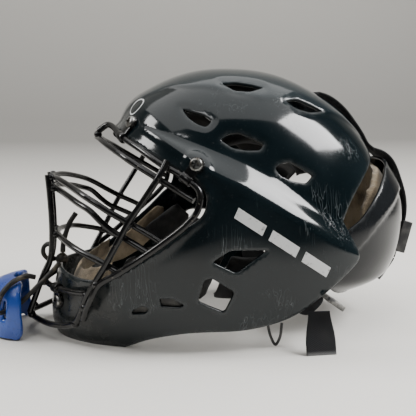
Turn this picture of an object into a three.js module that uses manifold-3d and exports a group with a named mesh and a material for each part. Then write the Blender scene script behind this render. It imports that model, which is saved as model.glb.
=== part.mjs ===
// Hockey style catcher's mask: moulded shell, welded wire cage, back plate on an elastic strap,
// pads, straps, and a throat guard hung on a leather lace.
// Millimetres, +Z up. The face looks along -X, the wearer's left side is -Y, and the floor is z = 0.
import * as THREE from 'three';
import { mergeVertices } from 'three/addons/utils/BufferGeometryUtils.js';
import Module from 'manifold-3d';

const wasm = await Module();
wasm.setup();

// ---------- driving dimensions ----------
const shellCentre = { x: 15, z: 120 };
const shellHalfWidth = 101;
const shellWall = 3.5;
const earFlare = 14;
const wireDiameter = 5.2;
const wireSides = 8;
const gap = 0.3;
const screwShank = 4.2;
const screwHead = 10.5;
const screwHeadHeight = 3.2;
const clipThickness = 1.8;
const padGap = 2;
const nutRoom = 10;
const webbing = { width: 25, thickness: 1.8 };
const elastic = { width: 38, thickness: 2.2 };
const laceDiameter = 4.4;
const laceSides = 8;
const plateWall = 3.5;
const plateCentreX = 95;
const plateRadii = { x: 87, y: 90 };
const guard = { x: -158, rx: 42, ry: 40, wall: 6, reach: 76 };

// Side outline of the shell on its middle plane, as x and z.
const profile = [
  [-80, 184], [-70, 201.5], [-48, 216], [-16, 228], [20, 231], [56, 226.5], [90, 212.5], [121.5, 190.5],
  [144.5, 158.5], [150, 121], [145, 80], [126, 30], [90, -20], [35, -58], [-25, -70], [-80, -57],
  [-120, -32], [-142, 4], [-143, 32], [-136, 58], [-125, 86], [-112, 115], [-96, 150],
];
// The ear shelf starts at the crease line and is fully out at the crest line.
const creaseLine = [[-62, 182], [-40, 174], [-12, 166], [12, 158], [32, 147], [57, 131], [80, 115], [120, 92]];
const crestLine = [[-62, 181], [-48, 170], [-20, 149], [-3, 139], [28, 121], [52, 107], [79, 91], [125, 64]];
// Edge of the face opening, from the brow round the temple to the chin lip.
const faceEdge = [
  [-84, 180], [-72, 171], [-48, 154], [-28, 142], [-19, 130], [-22, 116], [-32, 107], [-50, 91],
  [-69, 77], [-83, 67], [-94, 61], [-106, 57.5], [-120, 57], [-142, 60],
];
// Rear edge and underside, from the nape to the front of the chin.
const rearEdge = [[148, 155], [137, 153], [121, 141], [107, 126], [99, 114], [95, 105]];
const jawEdge = [[103, 90], [107, 76], [93, 62], [71, 44], [50, 29], [17, 20], [-23, 19], [-38, 17], [-62, 10], [-78, 2]];
const sideVents = [
  [[-34, 197], [-27, 195], [-16, 192], [-10, 187], [-16, 181], [-24, 184], [-31, 190]],
  [[-7, 172], [0, 177], [10, 178], [30, 169], [26, 163], [14, 163], [3, 165]],
  [[36, 150], [42, 154], [51, 155], [71, 143], [64, 136], [52, 138], [41, 143]],
];
const topVents = [
  [[0, 58], [13, 58], [26, 61], [37, 64], [23, 69], [10, 69]],
  [[52, 71], [64, 65], [77, 64], [90, 63], [74, 72], [62, 74]],
];
const cheekHoles = [
  [[-17, 79], [-2, 89], [29, 88], [4, 68]],
  [[-22, 65], [-16, 67], [4, 54], [-4, 35], [-27, 46]],
];

// ---------- small helpers ----------
const degrees = (value) => (value * Math.PI) / 180;
const sides = [{ tag: 'left', y: -1 }, { tag: 'right', y: 1 }];
const mirrorY = (points, y) => points.map(([px, py, pz]) => [px, -y * py, pz]);

function smoothStep(value) {
  const t = Math.min(Math.max(value, 0), 1);
  return t * t * (3 - 2 * t);
}

function alongLine(line, x) {
  if (x <= line[0][0]) return line[0][1];
  for (let i = 1; i < line.length; i += 1) {
    const [x0, z0] = line[i - 1];
    const [x1, z1] = line[i];
    if (x <= x1) return z0 + ((z1 - z0) * (x - x0)) / (x1 - x0);
  }
  return line[line.length - 1][1];
}

// ---------- the shell surface ----------
// Two poles lie on the side axis. phi turns round that axis and alpha leaves the left pole.
const spokes = profile
  .map(([x, z]) => {
    const dx = x - shellCentre.x;
    const dz = z - shellCentre.z;
    return { angle: Math.atan2(dz, dx), radius: Math.hypot(dx, dz) };
  })
  .sort((a, b) => a.angle - b.angle);

function spoke(index) {
  const count = spokes.length;
  const turns = Math.floor(index / count);
  const item = spokes[index - turns * count];
  return { angle: item.angle + turns * 2 * Math.PI, radius: item.radius };
}

// Radius of the side outline in the direction phi: a smooth closed curve through the spokes.
function outlineRadius(phi) {
  const turn = 2 * Math.PI;
  const start = spokes[0].angle;
  const angle = phi - turn * Math.floor((phi - start) / turn);
  let i = 0;
  while (spoke(i + 1).angle <= angle) i += 1;
  const [p0, p1, p2, p3] = [spoke(i - 1), spoke(i), spoke(i + 1), spoke(i + 2)];
  const span = p2.angle - p1.angle;
  const t = (angle - p1.angle) / span;
  const m1 = (span * (p2.radius - p0.radius)) / (p2.angle - p0.angle);
  const m2 = (span * (p3.radius - p1.radius)) / (p3.angle - p1.angle);
  const h1 = 2 * t ** 3 - 3 * t ** 2 + 1;
  const h2 = t ** 3 - 2 * t ** 2 + t;
  return h1 * p1.radius + h2 * m1 + (1 - h1) * p2.radius + (t ** 3 - t ** 2) * m2;
}

// The cross section is squarer at the lower rear, where the ear flaps run straight back.
function squareness(phi) {
  const away = Math.atan2(Math.sin(phi + degrees(30)), Math.cos(phi + degrees(30)));
  return 2.15 + 0.15 * Math.sin(phi) + 1.5 * Math.exp(-((away / degrees(38)) ** 2));
}

function earFactor(x, z) {
  const crease = alongLine(creaseLine, x);
  const depth = Math.max(crease - alongLine(crestLine, x), 1);
  return 1 + (earFlare * smoothStep((crease - z) / depth) * smoothStep((x + 95) / 80)) / shellHalfWidth;
}

function shellPoint(phi, alpha, inset) {
  const n = squareness(phi);
  const across = Math.sin(alpha) / outlineRadius(phi);
  const sideways = Math.abs(Math.cos(alpha)) / shellHalfWidth;
  const r = (across ** n + sideways ** n) ** (-1 / n) - inset;
  const x = shellCentre.x + r * Math.sin(alpha) * Math.cos(phi);
  const z = shellCentre.z + r * Math.sin(alpha) * Math.sin(phi);
  return new THREE.Vector3(x, -r * Math.cos(alpha) * earFactor(x, z), z);
}

// Point of the outer surface on side y = -1 or 1, at a given x and z of the side view.
function shellAt(x, z, y, inset = 0) {
  const dx = x - shellCentre.x;
  const dz = z - shellCentre.z;
  const phi = Math.atan2(dz, dx);
  const n = squareness(phi);
  const q = Math.min(Math.hypot(dx, dz) / outlineRadius(phi), 1);
  const half = shellHalfWidth * (1 - q ** n) ** (1 / n) * earFactor(x, z) - inset;
  return new THREE.Vector3(x, y * half, z);
}

function shellNormal(x, z, y) {
  const step = 2;
  const alongX = shellAt(x + step, z, y).sub(shellAt(x - step, z, y));
  const alongZ = shellAt(x, z + step, y).sub(shellAt(x, z - step, y));
  const normal = alongX.cross(alongZ).normalize();
  return normal.y * y < 0 ? normal.negate() : normal;
}

// ---------- solids ----------
// Joins equal vertices and turns the faces outward.
function closedBody(geometry) {
  const bare = geometry.clone();
  bare.deleteAttribute('normal');
  bare.deleteAttribute('uv');
  const body = mergeVertices(bare, 1e-4);
  const position = body.getAttribute('position');
  const index = body.getIndex();
  const [a, b, c] = [new THREE.Vector3(), new THREE.Vector3(), new THREE.Vector3()];
  let volume = 0;
  for (let i = 0; i < index.count; i += 3) {
    a.fromBufferAttribute(position, index.getX(i));
    b.fromBufferAttribute(position, index.getX(i + 1));
    c.fromBufferAttribute(position, index.getX(i + 2));
    volume += a.dot(b.cross(c));
  }
  if (volume < 0) {
    for (let i = 0; i < index.count; i += 3) {
      const kept = index.getX(i + 1);
      index.setX(i + 1, index.getX(i + 2));
      index.setX(i + 2, kept);
    }
  }
  return body;
}

function toManifold(geometry) {
  const body = closedBody(geometry);
  return new wasm.Manifold(new wasm.Mesh({
    numProp: 3,
    vertProperties: new Float32Array(body.getAttribute('position').array),
    triVerts: new Uint32Array(body.getIndex().array),
  }));
}

function fromManifold(solid) {
  const mesh = solid.getMesh();
  const geometry = new THREE.BufferGeometry();
  geometry.setAttribute('position', new THREE.BufferAttribute(new Float32Array(mesh.vertProperties), 3));
  geometry.setIndex(new THREE.BufferAttribute(new Uint32Array(mesh.triVerts), 1));
  return geometry;
}

function cut(geometry, cutters) {
  let solid = toManifold(geometry);
  for (const cutter of cutters) solid = solid.subtract(toManifold(cutter));
  return fromManifold(solid);
}

function join(geometries) {
  let solid = toManifold(geometries[0]);
  for (const geometry of geometries.slice(1)) solid = solid.add(toManifold(geometry));
  return fromManifold(solid);
}

// A closed slab between an outer and an inner surface, both given over u and v from 0 to 1.
function slab(uSteps, vSteps, outer, inner) {
  const points = [];
  for (const surface of [outer, inner]) {
    for (let i = 0; i <= uSteps; i += 1) {
      for (let j = 0; j <= vSteps; j += 1) points.push(...surface(i / uSteps, j / vSteps).toArray());
    }
  }
  const row = vSteps + 1;
  const layer = (uSteps + 1) * row;
  const faces = [];
  const quad = (a, b, c, d) => faces.push(a, b, c, a, c, d);
  for (let i = 0; i < uSteps; i += 1) {
    for (let j = 0; j < vSteps; j += 1) {
      const k = i * row + j;
      quad(k, k + row, k + row + 1, k + 1);
      quad(layer + k, layer + k + 1, layer + k + row + 1, layer + k + row);
    }
    const last = i * row + vSteps;
    quad(i * row, layer + i * row, layer + (i + 1) * row, (i + 1) * row);
    quad(last, last + row, layer + last + row, layer + last);
  }
  for (let j = 0; j < vSteps; j += 1) {
    const k = uSteps * row + j;
    quad(j, j + 1, layer + j + 1, layer + j);
    quad(k, layer + k, layer + k + 1, k + 1);
  }
  const geometry = new THREE.BufferGeometry();
  geometry.setAttribute('position', new THREE.Float32BufferAttribute(points, 3));
  geometry.setIndex(faces);
  return closedBody(geometry);
}

// Directions that part the side outline into equal lengths.
function evenDirections(count) {
  const fine = 720;
  const angles = [];
  const lengths = [0];
  for (let i = 0; i <= fine; i += 1) angles.push((2 * Math.PI * i) / fine);
  const place = (angle) => new THREE.Vector2(Math.cos(angle), Math.sin(angle)).multiplyScalar(outlineRadius(angle));
  for (let i = 1; i <= fine; i += 1) lengths.push(lengths[i - 1] + place(angles[i]).distanceTo(place(angles[i - 1])));
  const directions = [];
  for (let i = 0; i < count; i += 1) {
    const wanted = (lengths[fine] * i) / count;
    directions.push(angles[lengths.findIndex((length) => length >= wanted)]);
  }
  return directions;
}

// A full closed surface round the shell centre.
function wholeShell(phiSteps, alphaSteps, inset) {
  const directions = evenDirections(phiSteps);
  const points = [...shellPoint(0, 0, inset).toArray()];
  for (let j = 1; j < alphaSteps; j += 1) {
    for (const phi of directions) points.push(...shellPoint(phi, (Math.PI * j) / alphaSteps, inset).toArray());
  }
  points.push(...shellPoint(0, Math.PI, inset).toArray());
  const last = points.length / 3 - 1;
  const faces = [];
  for (let i = 0; i < phiSteps; i += 1) {
    const next = (i + 1) % phiSteps;
    faces.push(0, 1 + i, 1 + next);
    for (let j = 0; j < alphaSteps - 2; j += 1) {
      const a = 1 + j * phiSteps;
      const b = a + phiSteps;
      faces.push(a + i, b + i, b + next, a + i, b + next, a + next);
    }
    const ring = 1 + (alphaSteps - 2) * phiSteps;
    faces.push(ring + i, last, ring + next);
  }
  const geometry = new THREE.BufferGeometry();
  geometry.setAttribute('position', new THREE.Float32BufferAttribute(points, 3));
  geometry.setIndex(faces);
  return closedBody(geometry);
}

function outlineShape(points) {
  const shape = new THREE.Shape();
  shape.moveTo(...points[0]);
  for (const point of points.slice(1)) shape.lineTo(...point);
  return shape;
}

function smoothLine(points, steps) {
  const curve = new THREE.SplineCurve(points.map(([x, z]) => new THREE.Vector2(x, z)));
  return curve.getPoints(steps).map((point) => [point.x, point.y]);
}

// A prism of an x-z outline, from one y to another.
function prismAlongY(points, fromY, toY) {
  const geometry = new THREE.ExtrudeGeometry(outlineShape(points), { depth: toY - fromY, bevelEnabled: false });
  geometry.rotateX(Math.PI / 2);
  geometry.translate(0, toY, 0);
  return geometry;
}

// A prism of an x-y outline, from one height to another.
function prismAlongZ(points, fromZ, toZ) {
  const geometry = new THREE.ExtrudeGeometry(outlineShape(points), { depth: toZ - fromZ, bevelEnabled: false });
  geometry.translate(0, 0, fromZ);
  return geometry;
}

function roundSection(diameter, count) {
  const points = [];
  for (let i = 0; i < count; i += 1) {
    const angle = (2 * Math.PI * (i + 0.5)) / count;
    points.push([(Math.cos(angle) * diameter) / 2, (Math.sin(angle) * diameter) / 2]);
  }
  return outlineShape(points);
}

function tube(points, diameter, steps, count = wireSides) {
  const path = new THREE.CatmullRomCurve3(points.map((point) => new THREE.Vector3(...point)), false, 'centripetal');
  const options = { steps, bevelEnabled: false, extrudePath: path };
  return closedBody(new THREE.ExtrudeGeometry(roundSection(diameter, count), options));
}

// Turns a solid that was made along +Z to point along a direction, and moves it to a place.
function aim(geometry, direction, place) {
  const turn = new THREE.Quaternion().setFromUnitVectors(new THREE.Vector3(0, 0, 1), direction.clone().normalize());
  geometry.applyQuaternion(turn);
  geometry.translate(place.x, place.y, place.z);
  return geometry;
}

function rod(direction, place, diameter, length, count = 12) {
  const geometry = new THREE.CylinderGeometry(diameter / 2, diameter / 2, length, count);
  geometry.rotateX(Math.PI / 2);
  return aim(geometry, direction, place);
}

// ---------- the group ----------
const object = new THREE.Group();
const looks = {
  shell: ['#11181b', 0.16, 0],
  plate: ['#0e1214', 0.15, 0],
  wire: ['#0b0d0e', 0.3, 0.2],
  steel: ['#8a8d90', 0.3, 1],
  foam: ['#1b1b1c', 0.9, 0],
  tan: ['#8d7a5c', 0.9, 0],
  web: ['#111213', 0.85, 0],
  plastic: ['#23272a', 0.45, 0],
  grey: ['#6f7170', 0.5, 0],
  blue: ['#1f4fb4', 0.35, 0],
  leather: ['#2a2521', 0.6, 0],
};

function add(name, geometry, look) {
  const [color, roughness, metalness] = looks[look];
  const mesh = new THREE.Mesh(geometry, new THREE.MeshStandardMaterial({ color, roughness, metalness }));
  mesh.name = name;
  object.add(mesh);
  return mesh;
}

// ---------- cage wires ----------
// Half paths run on the left side and are mirrored; a bar that crosses the middle joins both halves.
const acrossMiddle = (half) => [...half, ...half.filter(([, y]) => y !== 0).reverse().map(([x, y, z]) => [x, -y, z])];

const sideBarPath = [
  [-48, -96, 156], [-55.6, -98.5, 142.6], [-66, -96, 126.4], [-78, -92, 108], [-88.3, -88.5, 88.8],
  [-97.4, -84.5, 71.4], [-111.3, -76, 46.5], [-117.7, -67.5, 28.7], [-121.4, -61.5, 20.5],
];
const framePath = [
  [-99, -10, 176.5], [-91, -12, 182], [-87, -19, 181], [-79.5, -45, 172.5], [-66.5, -70, 163.5], [-53.5, -88, 154],
  [-34, -106, 142.5], [-25.5, -112.5, 133], [-27, -113.5, 120], [-36, -112, 108.5], [-52, -107.5, 95],
  [-71, -101, 80.5], [-86, -93, 69], [-102, -83.5, 57.5], [-108, -81.5, 46], [-112, -76.5, 36], [-114.5, -72.5, 27],
];
const wires = {
  cage_brow_bar: acrossMiddle([
    [-29, -107, 126.5], [-39.5, -100, 132.8], [-56.5, -91.5, 143.3], [-75.2, -79, 155], [-83.4, -66, 160.6],
    [-91.4, -47, 165.4], [-97.2, -25, 169.5], [-100, 0, 170.8],
  ]),
  cage_eye_bar: acrossMiddle([
    [-54, -99.5, 94], [-62, -94.5, 99], [-78, -86, 107.6], [-92, -83, 115.6], [-102, -79, 122], [-110, -73, 126.6],
    [-124.6, -46, 133.6], [-133, -27, 136.5], [-138, -12, 137], [-140, 0, 137],
  ]),
  cage_middle_bar: acrossMiddle([
    [-62, -96.5, 84.5], [-70, -91.5, 89], [-81, -84, 95], [-89.5, -80, 99.5], [-97.8, -78, 106.5], [-107, -73, 115.5],
    [-117, -60, 120.5], [-124, -46, 123.8], [-131, -28, 126.3], [-136, -14, 127.5], [-138.5, 0, 128],
  ]),
  cage_mouth_bar: acrossMiddle([
    [-85, -87, 67.5], [-97, -79, 73.8], [-113, -65, 79.8], [-124.3, -49, 84], [-134, -22, 86.8], [-137, 0, 87.5],
  ]),
  cage_chin_top_bar: acrossMiddle([
    [-111.5, -70, 47.8], [-120, -61, 46.5], [-132, -45, 45.2], [-143, -24, 44.2], [-148.8, 0, 43.7],
  ]),
  cage_chin_bottom_bar: acrossMiddle([
    [-121.8, -60.9, 19.7], [-127.4, -54, 16.4], [-137.9, -44, 14.3], [-146.4, -34, 13.5], [-155.2, -20, 13.4],
    [-161.4, -8, 13.9], [-163.5, 0, 14.2],
  ]),
};
const uprightPath = [[-143, -15, 139.5], [-141.8, -15, 122], [-141, -15, 88], [-143.5, -15, 64], [-152.5, -15, 44], [-162.5, -15, 18]];

const steps = { brow: 18, eye: 20, middle: 20, mouth: 14, chin_top: 12, chin_bottom: 14, side: 12, frame: 24, upright: 7 };
const notch = (path, count) => tube(path, wireDiameter + 2 * gap, count);
const sideNotches = sides.map(({ y }) => notch(mirrorY(sideBarPath, y), steps.side));
const frameNotches = sides.map(({ y }) => notch(mirrorY(framePath, y), steps.frame));
const uprightNotches = sides.map(({ y }) => notch(mirrorY(uprightPath, y), steps.upright));
for (const [name, path] of Object.entries(wires)) {
  const bar = tube(path, wireDiameter, steps[name.slice('cage_'.length, -'_bar'.length)]);
  add(name, cut(bar, [...sideNotches, ...frameNotches, ...uprightNotches]), 'wire');
}
for (const [i, { tag, y }] of sides.entries()) {
  add(`cage_side_bar_${tag}`, tube(mirrorY(sideBarPath, y), wireDiameter, steps.side), 'wire');
  const frameWire = tube(mirrorY(framePath, y), wireDiameter, steps.frame);
  add(`cage_frame_${tag}`, cut(frameWire, [sideNotches[i]]), 'wire');
  add(`cage_nose_bar_${tag}`, tube(mirrorY(uprightPath, y), wireDiameter, steps.upright), 'wire');
}

// ---------- clips, screws and nuts ----------
const clipPlaces = [
  { name: 'forehead', x: -70.5, z: 184, wire: framePath, count: steps.frame },
  { name: 'temple', x: -25.7, z: 153, wire: framePath, count: steps.frame },
  { name: 'chin', x: -134.4, z: 33, wire: wires.cage_chin_top_bar, count: steps.chin_top },
];
const clipPad = { diameter: 12, height: 2.4, sink: 1.2 };
const clipWidth = 9;
const sleeveShare = 0.72;
const nutDepth = 9.6;
const screwReach = 12;
const clearances = [];

// The straight stretch of a bent wire that lies nearest to a place.
function nearestStretch(path, count, place) {
  const curve = new THREE.CatmullRomCurve3(path.map((point) => new THREE.Vector3(...point)), false, 'centripetal');
  const stops = curve.getSpacedPoints(count);
  let best = null;
  for (let i = 0; i < count; i += 1) {
    const middle = stops[i].clone().add(stops[i + 1]).multiplyScalar(0.5);
    const distance = middle.distanceTo(place);
    if (!best || distance < best.distance) best = { distance, middle, along: stops[i + 1].clone().sub(stops[i]) };
  }
  return best;
}

function sleeve(middle, along) {
  const inner = wireDiameter / 2 + gap + 0.1;
  const outer = inner + clipThickness;
  const half = (along.length() * sleeveShare) / 2;
  const ring = [[inner, -half], [outer, -half], [outer, half], [inner, half], [inner, -half]];
  const geometry = new THREE.LatheGeometry(ring.map(([r, h]) => new THREE.Vector2(r, h)), 8);
  geometry.rotateX(Math.PI / 2);
  return aim(geometry, along, middle);
}

function addClip({ name, x, z, wire, count }, { tag, y }) {
  const normal = shellNormal(x, z, y);
  const out = (height) => shellAt(x, z, y).addScaledVector(normal, height);
  const { middle, along } = nearestStretch(mirrorY(wire, y), count, out(0));
  const seat = clipPad.sink + clipPad.height;
  const reach = middle.clone().sub(out(seat));
  const side = new THREE.Vector3().crossVectors(normal, reach).normalize();
  const upward = new THREE.Vector3().crossVectors(reach, side).normalize();
  const tongue = new THREE.BoxGeometry(clipWidth, clipThickness, reach.length());
  tongue.applyMatrix4(new THREE.Matrix4().makeBasis(side, upward, reach.clone().normalize()));
  const centre = out(seat).add(middle).multiplyScalar(0.5).addScaledVector(normal, -clipThickness / 2);
  tongue.translate(centre.x, centre.y, centre.z);
  const pad = rod(normal, out(seat - clipPad.height / 2), clipPad.diameter, clipPad.height, 10);
  const headCentre = seat + gap + screwHeadHeight / 2;
  const room = 2 * gap;
  const clipCutters = [
    rod(along, middle, wireDiameter + room + 0.2, 40, 8),
    rod(normal, out(0), screwShank + room + 0.2, 24, 8),
    rod(normal, out(headCentre + 2), screwHead + room, screwHeadHeight + room + 4, 10),
  ];
  add(`${name}_clip_${tag}`, cut(join([sleeve(middle, along), tongue, pad]), clipCutters), 'wire');
  const head = rod(normal, out(headCentre), screwHead, screwHeadHeight, 12);
  const shank = rod(normal, out((headCentre - screwReach) / 2), screwShank, headCentre + screwReach, 8);
  add(`${name}_screw_${tag}`, join([head, shank]), 'steel');
  const nut = rod(normal, out(-nutDepth), 9, 3.2, 6);
  add(`${name}_nut_${tag}`, cut(nut, [rod(normal, out(-nutDepth), screwShank + room, 12, 8)]), 'steel');
  const tongueRoom = new THREE.BoxGeometry(clipWidth + room, clipThickness + room, reach.length() + room);
  tongueRoom.applyMatrix4(new THREE.Matrix4().makeBasis(side, upward, reach.clone().normalize()));
  tongueRoom.translate(centre.x, centre.y, centre.z);
  const ringRoom = rod(along, middle, wireDiameter + 2 * clipThickness + 2 * room + 0.2, along.length(), 8);
  clearances.push(ringRoom, tongueRoom, rod(normal, out(-4), screwShank + room + 0.2, 24, 8));
  clearances.push(rod(normal, out(clipPad.sink + 2), clipPad.diameter + room, 4 + room, 10));
}
for (const place of clipPlaces) {
  for (const side of sides) addClip(place, side);
}

// ---------- main shell ----------
const far = 260;
const faceCutter = prismAlongY([...smoothLine(faceEdge, 26), [-far, 60], [-far, 180]], -far, far);
const underside = [...smoothLine(rearEdge, 10), ...smoothLine(jawEdge, 20), [-82, 0], [-far, 0], [-far, -far], [far, -far], [far, 155]];
const rearCutter = prismAlongY(underside, -far, far);
const ventCutters = sides.flatMap(({ y }) => [
  ...sideVents.map((points) => (y < 0 ? prismAlongY(points, -far, -50) : prismAlongY(points, 50, far))),
  ...topVents.map((points) => prismAlongZ(points.map(([px, py]) => [px, y * py]), 150, far)),
]);
const cheekCutters = cheekHoles.map((points) => prismAlongY(points, -far, far));
add('main_shell', cut(wholeShell(44, 20, 0), [
  wholeShell(32, 16, shellWall), faceCutter, rearCutter, ...ventCutters, ...cheekCutters, ...clearances,
]), 'shell');

// ---------- pads inside the shell ----------
function shellPad(name, phiRange, alphaRange, thickness, look, grid, clear = padGap) {
  const at = (inset) => (u, v) => {
    const phi = degrees(phiRange[0] + (phiRange[1] - phiRange[0]) * u);
    const alpha = degrees(alphaRange[0] + (alphaRange[1] - alphaRange[0]) * v);
    return shellPoint(phi, alpha, inset);
  };
  const outside = shellWall + clear;
  add(name, slab(...grid, at(outside), at(outside + thickness)), look);
}
shellPad('brow_pad', [118, 143], [58, 122], 13, 'foam', [3, 10], nutRoom);
shellPad('crown_pad', [62, 106], [66, 114], 12, 'foam', [5, 6]);
for (const { tag, y } of sides) {
  const mirrored = ([from, to]) => (y < 0 ? [from, to] : [180 - from, 180 - to]);
  shellPad(`side_pad_${tag}`, [22, 112], mirrored([30, 50]), 14, 'foam', [8, 3]);
  shellPad(`cheek_pad_${tag}`, [213, 246], mirrored([24, 46]), 13, 'foam', [4, 3]);
  shellPad(`jaw_pad_${tag}`, [248, 292], mirrored([24, 44]), 10, 'foam', [5, 3], 3.5);
}
shellPad('chin_pad', [204.5, 213], [64, 116], 8, 'tan', [2, 10], nutRoom + 4);

// ---------- back plate ----------
// Height and scale of the plate's plan ellipse, from the tucked under lower edge to the top.
const plateScale = [[26, 0.46], [32, 0.56], [38, 0.7], [46, 0.84], [58, 0.92], [76, 0.98], [104, 1], [125, 0.95], [143, 0.84], [152, 0.77]];
const plateTop = [[0, 92], [0.2, 104], [0.4, 122], [0.55, 133], [0.75, 144], [1, 151]];
const plateReach = 92;
const plateBottom = 28;
const bandHeight = 25;

function platePoint(u, v, inset) {
  const angle = degrees(-plateReach + 2 * plateReach * u);
  const top = alongLine(plateTop, Math.cos(angle));
  const z = plateBottom + (top - plateBottom) * v;
  const scale = alongLine(plateScale, z);
  const raised = inset === 0 && top - z < bandHeight ? 2.5 : 0;
  const x = plateCentreX + (plateRadii.x * scale + raised - inset) * Math.cos(angle);
  return new THREE.Vector3(x, (plateRadii.y * scale + raised - inset) * Math.sin(angle), z);
}
const plateSlot = new THREE.BoxGeometry(60, 9, 24);
plateSlot.translate(180, 0, 88);
add('back_plate', cut(slab(16, 10, (u, v) => platePoint(u, v, 0), (u, v) => platePoint(u, v, plateWall)), [plateSlot]), 'plate');
const padSpan = (value, low, high) => low + (high - low) * value;
const platePad = (inset) => (u, v) => platePoint(padSpan(u, 0.1, 0.9), padSpan(v, 0.3, 0.985), inset);
add('back_plate_pad', slab(8, 4, platePad(plateWall + 1.6), platePad(plateWall + 12)), 'tan');

// ---------- rear strap ----------
// A flat band on the middle plane: a centre line in x and z, given a thickness.
function ribbon(points, thickness, width, steps, centreY = 0) {
  const curve = new THREE.SplineCurve(points.map(([x, z]) => new THREE.Vector2(x, z)));
  const upper = [];
  const lower = [];
  for (let i = 0; i <= steps; i += 1) {
    const point = curve.getPoint(i / steps);
    const along = curve.getTangent(i / steps);
    upper.push([point.x - (along.y * thickness) / 2, point.y + (along.x * thickness) / 2]);
    lower.unshift([point.x + (along.y * thickness) / 2, point.y - (along.x * thickness) / 2]);
  }
  return prismAlongY([...upper, ...lower], centreY - width / 2, centreY + width / 2);
}
const strapLoopPath = [[99, 210.5], [108, 207.5], [117, 202], [125, 195], [133, 185.5], [141, 174.5], [147.5, 164], [152.8, 160]];
const rearStrapPath = [[154.5, 159.5], [163, 156.5], [172, 149], [181, 131], [187, 112], [187.5, 96], [182.5, 76], [177.5, 56]];
const strapEndPath = [[177.3, 55.2], [170, 44], [163, 35]];
add('rear_strap_loop', ribbon(strapLoopPath, elastic.thickness, elastic.width, 12), 'web');
add('rear_strap', ribbon(rearStrapPath, elastic.thickness, elastic.width, 14), 'web');
add('rear_strap_end', ribbon(strapEndPath, elastic.thickness, elastic.width, 4), 'web');
const sliderCentre = new THREE.Vector3(185, 0, 76);
const sliderAlong = new THREE.Vector3(5, 0, 20).normalize();
const sliderFrame = { across: 46, deep: 9.5, long: 30 };
const sliderBody = new THREE.BoxGeometry(sliderFrame.deep, sliderFrame.across, sliderFrame.long);
const sliderSlot = new THREE.BoxGeometry(elastic.thickness + 1.6, elastic.width + 1.6, 2 * sliderFrame.long);
for (const part of [sliderBody, sliderSlot]) aim(part, sliderAlong, sliderCentre.clone());
sliderSlot.translate(-1.7, 0, 0.4);
add('rear_slider', cut(sliderBody, [sliderSlot]), 'plastic');

// ---------- lower straps ----------
const foldOutline = [[58, 46], [57, 39], [61, 33], [67, 32.5], [72, 37], [77, 43], [73, 49.5], [68, 47]];
const buckle = { long: 16, wide: 27, thick: 4.2, tilt: 35, x: 85, y: 99, z: 41 };
const tail = { x: 73.5, topY: 103, topZ: 33.5, length: 36, lean: 15 };
for (const { tag, y } of sides) {
  add(`lower_strap_${tag}`, prismAlongY(foldOutline, y * 96 - webbing.thickness, y * 96 + webbing.thickness), 'web');
  const frame = new THREE.BoxGeometry(buckle.long, buckle.wide, buckle.thick);
  const slot = new THREE.BoxGeometry(4, buckle.wide - 5, 4 * buckle.thick);
  for (const piece of [frame, slot]) {
    piece.rotateY(degrees(buckle.tilt));
    piece.translate(buckle.x, y * buckle.y, buckle.z);
  }
  add(`triglide_${tag}`, cut(frame, [slot]), 'grey');
  const band = new THREE.BoxGeometry(webbing.width, webbing.thickness, tail.length);
  band.translate(0, 0, -tail.length / 2);
  band.rotateX(degrees(tail.lean * y));
  band.translate(tail.x, y * tail.topY, tail.topZ);
  const floor = prismAlongZ([[-far, -far], [far, -far], [far, far], [-far, far]], -far, 0);
  add(`strap_tail_${tag}`, cut(band, [floor]), 'web');
  const hookPath = [[36, y * 84, 19], [38.5, y * 85, 8], [42.5, y * 86, 1.2], [46, y * 87, 8], [47, y * 88, 20]];
  add(`strap_hook_${tag}`, tube(hookPath, 2.4, 12, 6), 'plastic');
}

// ---------- throat guard ----------
// Scale of the plan ellipse and height, from the lower edge to the hanging edge at the top.
const guardSection = [[1, 1.5], [1.02, 14], [1, 30], [0.95, 38], [0.83, 44.5], [0.62, 48], [0.45, 49]];

function guardPoint(u, v, inset) {
  const place = v * (guardSection.length - 1);
  const k = Math.min(Math.floor(place), guardSection.length - 2);
  const t = place - k;
  const scale = guardSection[k][0] * (1 - t) + guardSection[k + 1][0] * t;
  const z = guardSection[k][1] * (1 - t) + guardSection[k + 1][1] * t;
  const angle = degrees(180 - guard.reach + 2 * guard.reach * u);
  const drop = inset * smoothStep((z - 30) / 14);
  const pull = inset - drop * 0.6;
  const x = guard.x + (guard.rx * scale - pull) * Math.cos(angle);
  return new THREE.Vector3(x, (guard.ry * scale - pull) * Math.sin(angle), z - drop);
}
const guardSlots = [-1, 1].map((y) => {
  const slot = new THREE.BoxGeometry(30, 8, 22);
  slot.rotateZ(degrees(-54 * y));
  slot.translate(-182, y * 33, 26);
  return slot;
});
const guardBody = slab(14, 7, (u, v) => guardPoint(u, v, 0), (u, v) => guardPoint(u, v, guard.wall));
add('throat_guard', cut(guardBody, guardSlots), 'blue');

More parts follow.
